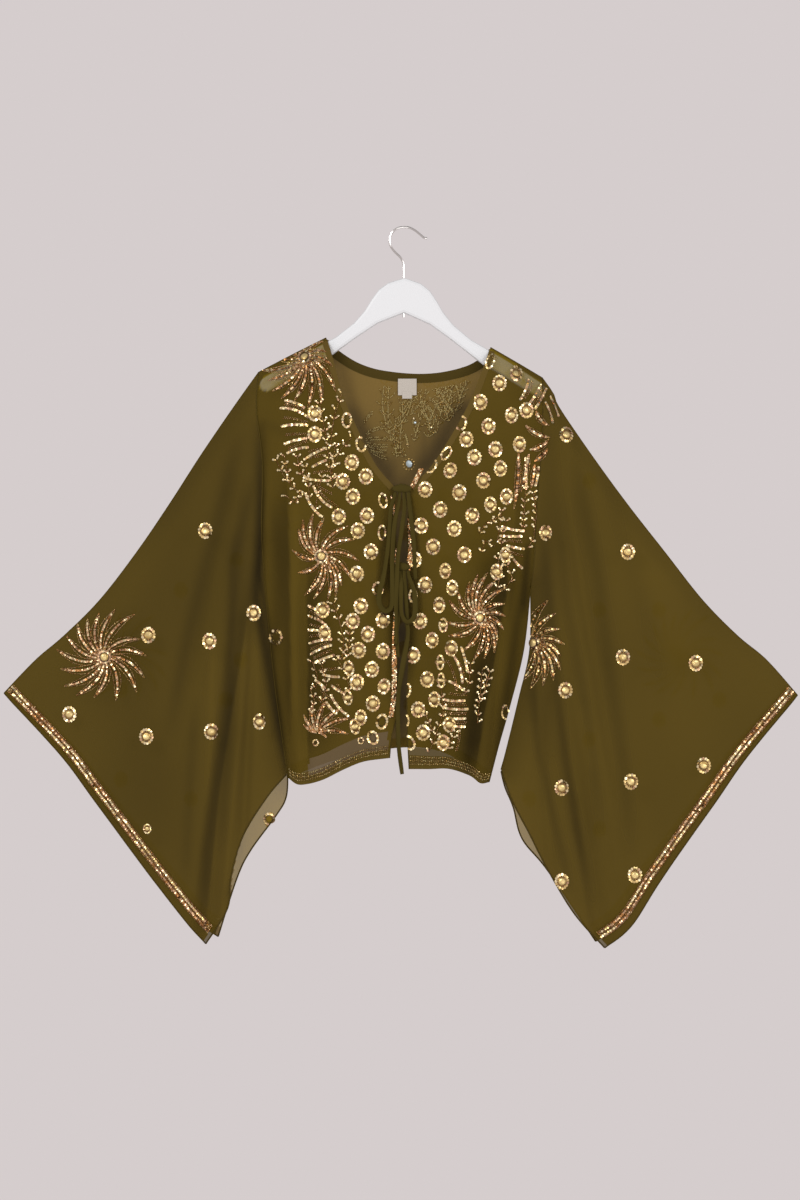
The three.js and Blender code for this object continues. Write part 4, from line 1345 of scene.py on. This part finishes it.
# Sprigs: the stem in pixels, how many pairs of leaves and how long the leaves are
LEFT_SPRIGS = [
    ([(320, 405), (325, 430), (328, 450), (333, 488)], 10),
    ([(342, 395), (335, 415), (332, 432), (331, 447)], 7),
    ([(351, 439), (341, 450), (334, 465)], 4),
    ([(335, 448), (332, 468), (333, 480)], 4),
    ([(322, 478), (318, 492), (316, 510)], 3, 4.4),
    ([(277, 461), (284, 476), (292, 486), (303, 497)], 5, 4.2),
    ([(285, 457), (287, 470), (291, 482)], 4, 4.0),
    ([(298, 458), (299, 468), (302, 474), (308, 482)], 4, 4.6),
    ([(306, 468), (308, 480), (310, 498)], 4, 4.0),
    ([(286, 496), (296, 503), (302, 490)], 4, 4.0),
    ([(334, 604), (340, 622), (344, 640), (342, 660)], 8),
    ([(350, 628), (350, 640), (347, 656)], 5),
    ([(338, 660), (346, 672), (350, 690)], 4, 4.4),
    ([(313, 662), (318, 676), (316, 688)], 4, 4.4),
    ([(322, 664), (327, 684), (322, 700)], 5, 4.4),
    ([(311, 690), (315, 700), (311, 712)], 4, 4.0),
]
place_all(sprig, left_work, LEFT_SPRIGS)
burst(left_work, 318, 732, [
    (350, 30), (14, 32), (44, 34), (66, 36), (92, 30), (322, 22), (300, 16), (118, 10),
], swirl=22, hub=3, centre=False)
for px, py in ((316, 742), (361, 740)):
    roundel(left_work, px, py, open_ring=True, share=0.6, wide=0.7, tall=0.7)

# Right front: shoulder strokes, columns of strokes, ferns, burst and the lower comb
right_work = Beadwork(BODY_FRONT["right"], outlines["right"])
place_roundels(right_work, RIGHT_FRONT_ROUNDELS)
burst(right_work, 479.7, 617.8, [
    (343, 37), (357, 43), (9, 45), (22, 40), (39, 37), (60, 28), (86, 25), (116, 26), (141, 27),
    (158, 37), (174, 40), (189, 43), (207, 36), (240, 36), (263, 33), (299, 35), (320, 34),
])
RIGHT_OUTLINED = [
    (536, 413, 548, 426, -0.25), (526, 427, 549, 438, -0.2), (530.5, 450, 548, 440, -0.25),
    (535, 461, 547, 449, -0.15), (518, 455, 513.5, 509, 0.05), (528, 456, 520.6, 492, 0.04),
    (534, 466, 530.5, 488, 0.06),
]
place_all(stroke, right_work, RIGHT_OUTLINED, outlined=True)
RIGHT_STROKES = [
    (528, 380, 520, 400, 0.12), (540.5, 385, 530, 403, 0.06), (546, 389, 535, 409, 0.04),
    (545, 403, 552, 423, 0.08), (550, 397, 558, 416, 0.06), (525, 459, 525.6, 489, 0.03),
    (538, 468, 535, 486, 0.05), (502, 527, 523, 531, -0.1), (500, 536, 520.6, 536.5, -0.05),
    (507, 546, 523, 549, -0.06), (511.5, 557, 521.4, 568, -0.1),
    (443, 699, 464, 700, -0.1), (443, 707, 467, 708.5, -0.08), (454, 718, 465, 718, -0.04),
    (453, 655, 462, 682, 0.14), (461, 647, 467, 671, 0.05), (449, 681, 462, 689, 0.1),
    (456, 726, 464, 726, 0),
]
place_all(stroke, right_work, RIGHT_STROKES)
RIGHT_ZIGZAGS = [
    (532, 382, 524, 399, 0.1), (543, 388, 533, 405, 0.05), (549, 405, 555, 421, 0.05),
    (519, 471, 518.5, 487, 0), (541, 466, 540.5, 484, 0), (502, 541, 521, 541.5, 0),
    (508, 551, 522, 556, -0.05), (447, 660, 456, 690, 0.14), (458, 660, 464, 680, 0.1),
    (443, 703, 466, 704, -0.05), (444, 712, 466, 713, -0.05), (455, 722, 466, 722, 0),
    (449, 693, 466, 694, -0.05), (459, 730, 456, 750, 0.1),
]
place_all(zigzag, right_work, RIGHT_ZIGZAGS)
RIGHT_SPRIGS = [
    ([(525, 490), (524, 508), (523, 528)], 7, 4.2),
    ([(533, 494), (536, 512), (533, 539), (527, 548)], 9, 4.2),
    ([(501, 512), (499, 530), (497, 541)], 4, 4.2),
    ([(497, 518), (486, 523), (479, 533)], 5, 4.2),
    ([(494, 546), (485, 541), (481, 552)], 4, 4.2),
    ([(482, 669), (480, 690), (477, 722)], 9, 4.4),
    ([(489, 672), (484, 690), (480, 700)], 5, 4.2),
    ([(441, 688), (443, 712), (434, 740), (428, 752)], 8, 4.2),
    ([(455, 732), (447, 748)], 4, 4.6),
    ([(470, 664), (469, 682), (464, 692)], 4, 4.6),
    ([(507, 566), (512, 578), (504, 590)], 4, 4.6),
    ([(498, 560), (500, 574), (497, 588)], 4, 4.6),
    ([(505, 522), (500, 540), (502, 556)], 4, 4.6),
    ([(426, 715), (433, 730)], 3, 4.0),
]
place_all(sprig, right_work, RIGHT_SPRIGS)

# Strips of sequins down both front edges. The one beside the neckline stands on its band
OVER_BAND = 2.6
EDGE_SHIFTS = (-2.4, -0.8, 0.8, 2.4)
LEFT_EDGE = [(393, 497), (396.5, 520), (398, 545), (396, 570), (396, 610), (394.5, 645), (394, 690),
             (391, 716)]
BAND_EDGE = [(411, 489), (415, 482), (421, 470)]
RIGHT_EDGE = [(409, 520), (411, 545), (408, 570)]
band_work = Beadwork(BODY_FRONT["right"], lift=OVER_BAND)
for work, rows in ((left_work, LEFT_EDGE), (band_work, BAND_EDGE), (right_work, RIGHT_EDGE)):
    line = hermite([tuple(spot(*p)) for p in rows], 12)
    for shift in EDGE_SHIFTS:
        sequin_row(work, line + np.array([shift, 0]), 2.6, 2.3, (ROSE, COPPER, PALE, COPPER))

band_work.mesh("beads_neckline_right")

# Threads along both front hems: shares of the height, then each other one's finishes and zigzag
HEM_THREADS = np.linspace(0.973, 0.989, 5)
HEM_KINDS = ((BRONZE, GOLD, THREAD, BRONZE), (BROWN, BRONZE))
HEM_ZIGS = (0.3, 0.8)
for name, work in (("left", left_work), ("right", right_work)):
    for k, row in enumerate(front_grid(HALVES[name], HEM_THREADS, spread(40))):
        bead_chain(work, row[1:-1], 1.8, 2.7, HEM_KINDS[k % 2], HEM_ZIGS[k % 2])
    work.mesh("beads_front_" + name)

# Sleeves: bursts, scattered roundels and the banded cuffs. A cuff's rows of sequins have their
# distance in from the hem, size and spacing, its chains of beads only the distance
BAND_ROWS = [(3.2, 3.6, 3.1), (9.2, 3.6, 3.1)]
BAND_CHAINS = (0.2, 1.4, 5.6, 6.8, 11.4, 12.6)
BAND_RUN = 7
BAND_KINDS = ((PALE, GOLD, PALE), (ROSE, PALE, GOLD), (ROSE, COPPER, ROSE))
SLEEVE_BURSTS = {
    "left": (105, 657, [(353, 44), (12.4, 48), (35, 52), (63, 40), (88, 42), (117, 45), (137, 47),
                        (165, 44), (194, 41), (216, 47), (234, 49), (255, 45), (279, 48), (299, 43),
                        (320, 43), (336, 42)]),
    "right": (532.5, 643, [(19, 45), (37, 37), (62, 30), (92, 31), (114, 30), (134, 38), (151, 42),
                           (167, 43), (183, 45), (197, 40)]),
}
SLEEVE_BURST_KINDS = {"left": (ROSE, ROSE, PALE, COPPER), "right": (GOLD, PALE, GOLD, COPPER)}
SLEEVE_ROUNDELS = {
    ("left", "front"): LEFT_SLEEVE_ROUNDELS,
    ("right", "front"): RIGHT_SLEEVE_ROUNDELS,
    ("left", "back"): LEFT_SLEEVE_BACK_ROUNDELS,
    ("right", "back"): RIGHT_SLEEVE_BACK_ROUNDELS,
}
BACK_BURST_X = {"left": 125, "right": 2 * PHOTO_MIDDLE - 125}


def cuff_bands(work, half, face):
    """Rows of sequins and chains of beads along a cuff, above its hem."""
    rows = np.linspace(0.006, 0.985, 90)
    grid = sleeve_grid(half, face, rows, spread(40))
    hem_width = np.linspace(CUFF_HEM_TOP, CUFF_HEM_FOOT, len(rows))
    for inset, size, spacing in BAND_ROWS:
        line = inset_strip(grid, hem_width + inset, hem_width + inset + 1, 2)[:, 0]
        for start in range(0, len(line) - 1, BAND_RUN):
            sequin_row(work, line[start:start + BAND_RUN + 1], size, spacing, seed.choice(BAND_KINDS))
    for inset in BAND_CHAINS:
        line = inset_strip(grid, hem_width + inset, hem_width + inset + 1, 2)[:, 0]
        bead_chain(work, line, 1.7, 2.1, (COPPER, COPPER, BRONZE, ROSE))


# The right shoulder's first strokes cross the armhole, so the sleeve carries them on
CROSSING_OUTLINED, CROSSING_STROKES = 4, 5
# Marks on the inside of a cloth
INSIDE_LIFT = -WALL / 2 - 0.3
for name, half in HALVES.items():
    for face, side in FACES.items():
        outline = ring_outline(sleeve_grid(half, face, spread(24), spread(16)))
        work = Beadwork(SLEEVE[(name, side)], outline)
        if face == "front":
            burst(work, *SLEEVE_BURSTS[name], wide=5.6, kinds=SLEEVE_BURST_KINDS[name])
        else:
            px, py, petals = SLEEVE_BURSTS["left"]
            burst(work, BACK_BURST_X[name], py, petals)
        place_roundels(work, SLEEVE_ROUNDELS[(name, face)])
        if (name, face) == ("right", "front"):
            place_all(stroke, work, RIGHT_OUTLINED[:CROSSING_OUTLINED], outlined=True)
            place_all(stroke, work, RIGHT_STROKES[:CROSSING_STROKES])
        cuff_bands(work, half, face)
        piece = work.mesh("beads_sleeve_" + name + "_" + face)
        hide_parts("cuff_trim_" + name + "_" + face)
        if (name, face) == ("left", "back"):
            inner = Beadwork(SLEEVE[(name, side)], outline, INSIDE_LIFT)
            roundel(inner, 268.5, 820, 0.8, 0.8, open_ring=True)
            inner.mesh("beads_sleeve_left_inside")

# Back: the same kinds of motif outside, and the pale reverse of its sprays seen inside the neck. Its
# roundels stand in rows in pixels, each other row pushed along, each one a little astray
BACK_ACROSS, BACK_DOWN = range(322, 490, 24), range(500, 740, 30)
BACK_PUSH, BACK_ASTRAY = 12, 5
BACK_BURSTS = ((318, 500), (485, 560))
back_work = Beadwork(BODY_BACK, ring_outline(back_grid(spread(24), spread(24))))
for px in BACK_ACROSS:
    for py in BACK_DOWN:
        push = BACK_PUSH if (py // BACK_DOWN.step) % 2 else 0
        roundel(back_work, px + seed.uniform(-BACK_ASTRAY, BACK_ASTRAY) + push,
                py + seed.uniform(-BACK_ASTRAY, BACK_ASTRAY))
for px, py in BACK_BURSTS:
    burst(back_work, px, py, SLEEVE_BURSTS["left"][2])
# Sprays fall from the back neck: stems in pixels with pairs of leaves, and fans of strokes between
NECK_SPRAYS = [
    ([(389, 380), (388, 400), (388, 425), (391, 440)], 8, 5.5),
    ([(402, 395), (403, 415), (400, 435), (401, 452)], 7, 5.5),
    ([(412, 398), (408, 412), (400, 424), (388, 432)], 6, 5.0),
    ([(428, 380), (424, 398), (412, 412)], 6, 5.0),
    ([(440, 378), (438, 400), (430, 420), (428, 436)], 8, 5.0),
    ([(450, 380), (452, 400), (446, 418)], 6, 5.0),
    ([(460, 376), (462, 394), (456, 410)], 6, 5.0),
    ([(420, 400), (428, 418), (436, 432)], 6, 5.0),
    ([(396, 440), (400, 452), (406, 455)], 4, 4.5),
    ([(416, 392), (408, 402), (402, 412)], 5, 5.0),
    ([(434, 384), (444, 404), (449, 420)], 7, 5.0),
    ([(424, 404), (420, 420), (414, 440)], 6, 5.0),
    ([(446, 386), (442, 408), (438, 424)], 7, 5.0),
    ([(456, 378), (450, 396), (446, 412)], 6, 5.0),
    ([(384, 384), (382, 404), (386, 424)], 5, 5.0),
    ([(466, 370), (466, 384), (460, 396)], 5, 4.5),
    ([(396, 418), (393, 436), (397, 456)], 6, 5.0),
]
NECK_STROKES = [
    (366, 434, 386, 427, 0.2), (366, 439, 387, 439, 0.1), (367, 443, 387, 445, -0.1),
    (368, 447, 386, 451, -0.1), (370, 450, 387, 458, -0.1), (434, 385, 444, 396, 0.1),
    (438, 380, 448, 392, 0.1), (430, 398, 442, 412, 0.1), (426, 404, 436, 420, 0.1),
    (422, 410, 430, 428, 0.1), (444, 400, 454, 414, 0.1), (456, 384, 460, 400, 0.1),
    (405, 434, 408, 446, 0.1), (412, 420, 418, 432, 0.1), (364, 422, 372, 412, 0.1),
]
STITCH_ANGLE = 40
below_binding = ring_outline(back_grid(np.linspace(0.034, 1, 24), spread(24)))
inside_work = Beadwork(BODY_BACK, below_binding, INSIDE_LIFT)


def thread_spray(work, line, pairs, reach):
    """The reverse of a sprig: a stem of thread with pairs of long curved stitches."""
    bead_chain(work, line, 1.5, 1.5, (THREAD, THREAD, BRONZE))
    for x, z, heading, share in walk(line, run_length(line) / max(1, pairs - 1)):
        for hand in (-1, 1):
            turn = heading + math.pi + hand * math.radians(STITCH_ANGLE + seed.uniform(-14, 14))
            length = reach * seed.uniform(1.2, 2.2)
            tip = (x + math.cos(turn) * length, z + math.sin(turn) * length)
            bead_chain(work, bent((x, z), tip, hand * 0.2), 1.4, 1.5, (THREAD, THREAD, BRONZE, GOLD))


for rows, pairs, reach in NECK_SPRAYS:
    sprig(back_work, rows, pairs, reach)
    thread_spray(inside_work, np.array([spot(*p) for p in rows]), pairs, reach)
for ax, ay, bx, by, bend in NECK_STROKES:
    zigzag(back_work, ax, ay, bx, by, bend)
    line = bent(spot(ax, ay), spot(bx, by), bend)
    for hand in (-1, 1):
        bead_chain(inside_work, line + np.array([0, hand * 1.7]), 1.5, 1.6, (THREAD, BRONZE, THREAD), 0.4)
for px, py, kind in ((414, 418, PALE), (431, 427, PALE), (407.5, 444, GOLD), (415, 422, GLASS)):
    inside_work.add("bead", spot(px, py), 3.8, kind, 0, 1.6, 0.6)
# A pale dome seen inside the neck, between the fronts, in a ring of beads
for k, angle, place in oval((409, 464), 5.6, 5.6, 12):
    inside_work.add("bead", spot(*place), 2.4, BRONZE, angle)
inside_work.add("dome", spot(409, 463.6), (11, 10), GLASS, 0, 1.8, 0.4)
inside_work.mesh("threads_back_inside")
back_work.mesh("beads_back")

# Hanger finishes
HANGER_FINISHES = {
    "hanger_wood": ("white_paint", (0.745, 0.765, 0.775), 0.38),
    "hanger_hook": ("hook_chrome", (0.62, 0.60, 0.58), 0.18, 1.0),
}
for name, row in HANGER_FINISHES.items():
    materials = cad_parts[name].data.materials
    materials.clear()
    materials.append(principled(*row)[0])

# The set: an even pale round room whose wall curves into its floor
ROOM_RADIUS_M = 12.0
FLOOR_Z_M = -1.75
ROOM_TOP_M = 10.0
COVE_M = 2.5
ROOM_SIDES = 64
ROOM_LIGHT = (0.665, 0.610, 0.610, 1)
ROOM_STRENGTH = 0.992
profile = [(0.0, FLOOR_Z_M)]
for turn in np.linspace(0, math.pi / 2, 12):
    profile.append((ROOM_RADIUS_M - COVE_M + COVE_M * math.sin(turn),
                    FLOOR_Z_M + COVE_M - COVE_M * math.cos(turn)))
profile.append((ROOM_RADIUS_M, ROOM_TOP_M))
room_points = []
for radius, z in profile:
    for i in range(ROOM_SIDES):
        turn = 2 * math.pi * i / ROOM_SIDES
        room_points.append((radius * math.cos(turn) / MM, radius * math.sin(turn) / MM, z / MM))
backdrop, backdrop_shader = principled("backdrop", (0.01, 0.01, 0.01), 1.0)
backdrop_shader.inputs["Specular IOR Level"].default_value = 0.0
backdrop_shader.inputs["Emission Color"].default_value = ROOM_LIGHT
backdrop_shader.inputs["Emission Strength"].default_value = ROOM_STRENGTH
backdrop.cycles.emission_sampling = "NONE"
room_faces = ring_faces(len(profile), ROOM_SIDES, capped=False)
room = mesh_object("room", room_points, room_faces, backdrop, body=None)

# The camera looks straight at the blouse, from far enough away to show it nearly flat
AIM_M = (-0.0051, 0.0, -0.539)
CAMERA_AWAY_M = 4.5
FRAME_HEIGHT_M = 1.74
SENSOR = 36
camera_data = bpy.data.cameras.new("camera")
camera_data.sensor_fit = "VERTICAL"
camera_data.sensor_height = SENSOR
camera_data.lens = SENSOR * CAMERA_AWAY_M / FRAME_HEIGHT_M
camera = bpy.data.objects.new("camera", camera_data)
camera.location = (AIM_M[0], AIM_M[1] - CAMERA_AWAY_M, AIM_M[2])
camera.rotation_euler = (math.pi / 2, 0, 0)
bpy.context.scene.collection.objects.link(camera)
bpy.context.scene.camera = camera


def area_light(name, place, target, size, power):
    """A lamp aimed at a place, all in metres."""
    data = bpy.data.lights.new(name, "AREA")
    data.shape = "RECTANGLE"
    data.size, data.size_y = size
    data.energy = power
    lamp = bpy.data.objects.new(name, data)
    lamp.location = place
    away = np.array(place) - np.array(target)
    flat = math.hypot(away[0], away[1])
    lamp.rotation_euler = (math.atan2(flat, away[2]), 0, math.atan2(away[0], -away[1]))
    bpy.context.scene.collection.objects.link(lamp)


# Lamps: place and aim, width and height, all in metres, and power in watts
LAMPS = {
    "key": ((-1.9, -3.0, 1.1), (0, 0, -0.5), (1.2, 1.2), 50),
    "fill": ((2.2, -3.0, 0.4), (0, 0, -0.6), (1.4, 1.4), 30),
    "low": ((0.3, -3.2, -1.5), (0, 0, -0.6), (1.2, 0.6), 8),
}
for name, row in LAMPS.items():
    area_light(name, *row)
SKY_LIGHT = (1, 0.98, 0.98, 1)
SKY_STRENGTH = 0.36
world = bpy.data.worlds.new("world")
bpy.context.scene.world = world
world.use_nodes = True
sky = world.node_tree.nodes["Background"]
sky.inputs["Color"].default_value = SKY_LIGHT
sky.inputs["Strength"].default_value = SKY_STRENGTH
bpy.context.scene.view_settings.view_transform = "Standard"

bpy.context.view_layer.update()
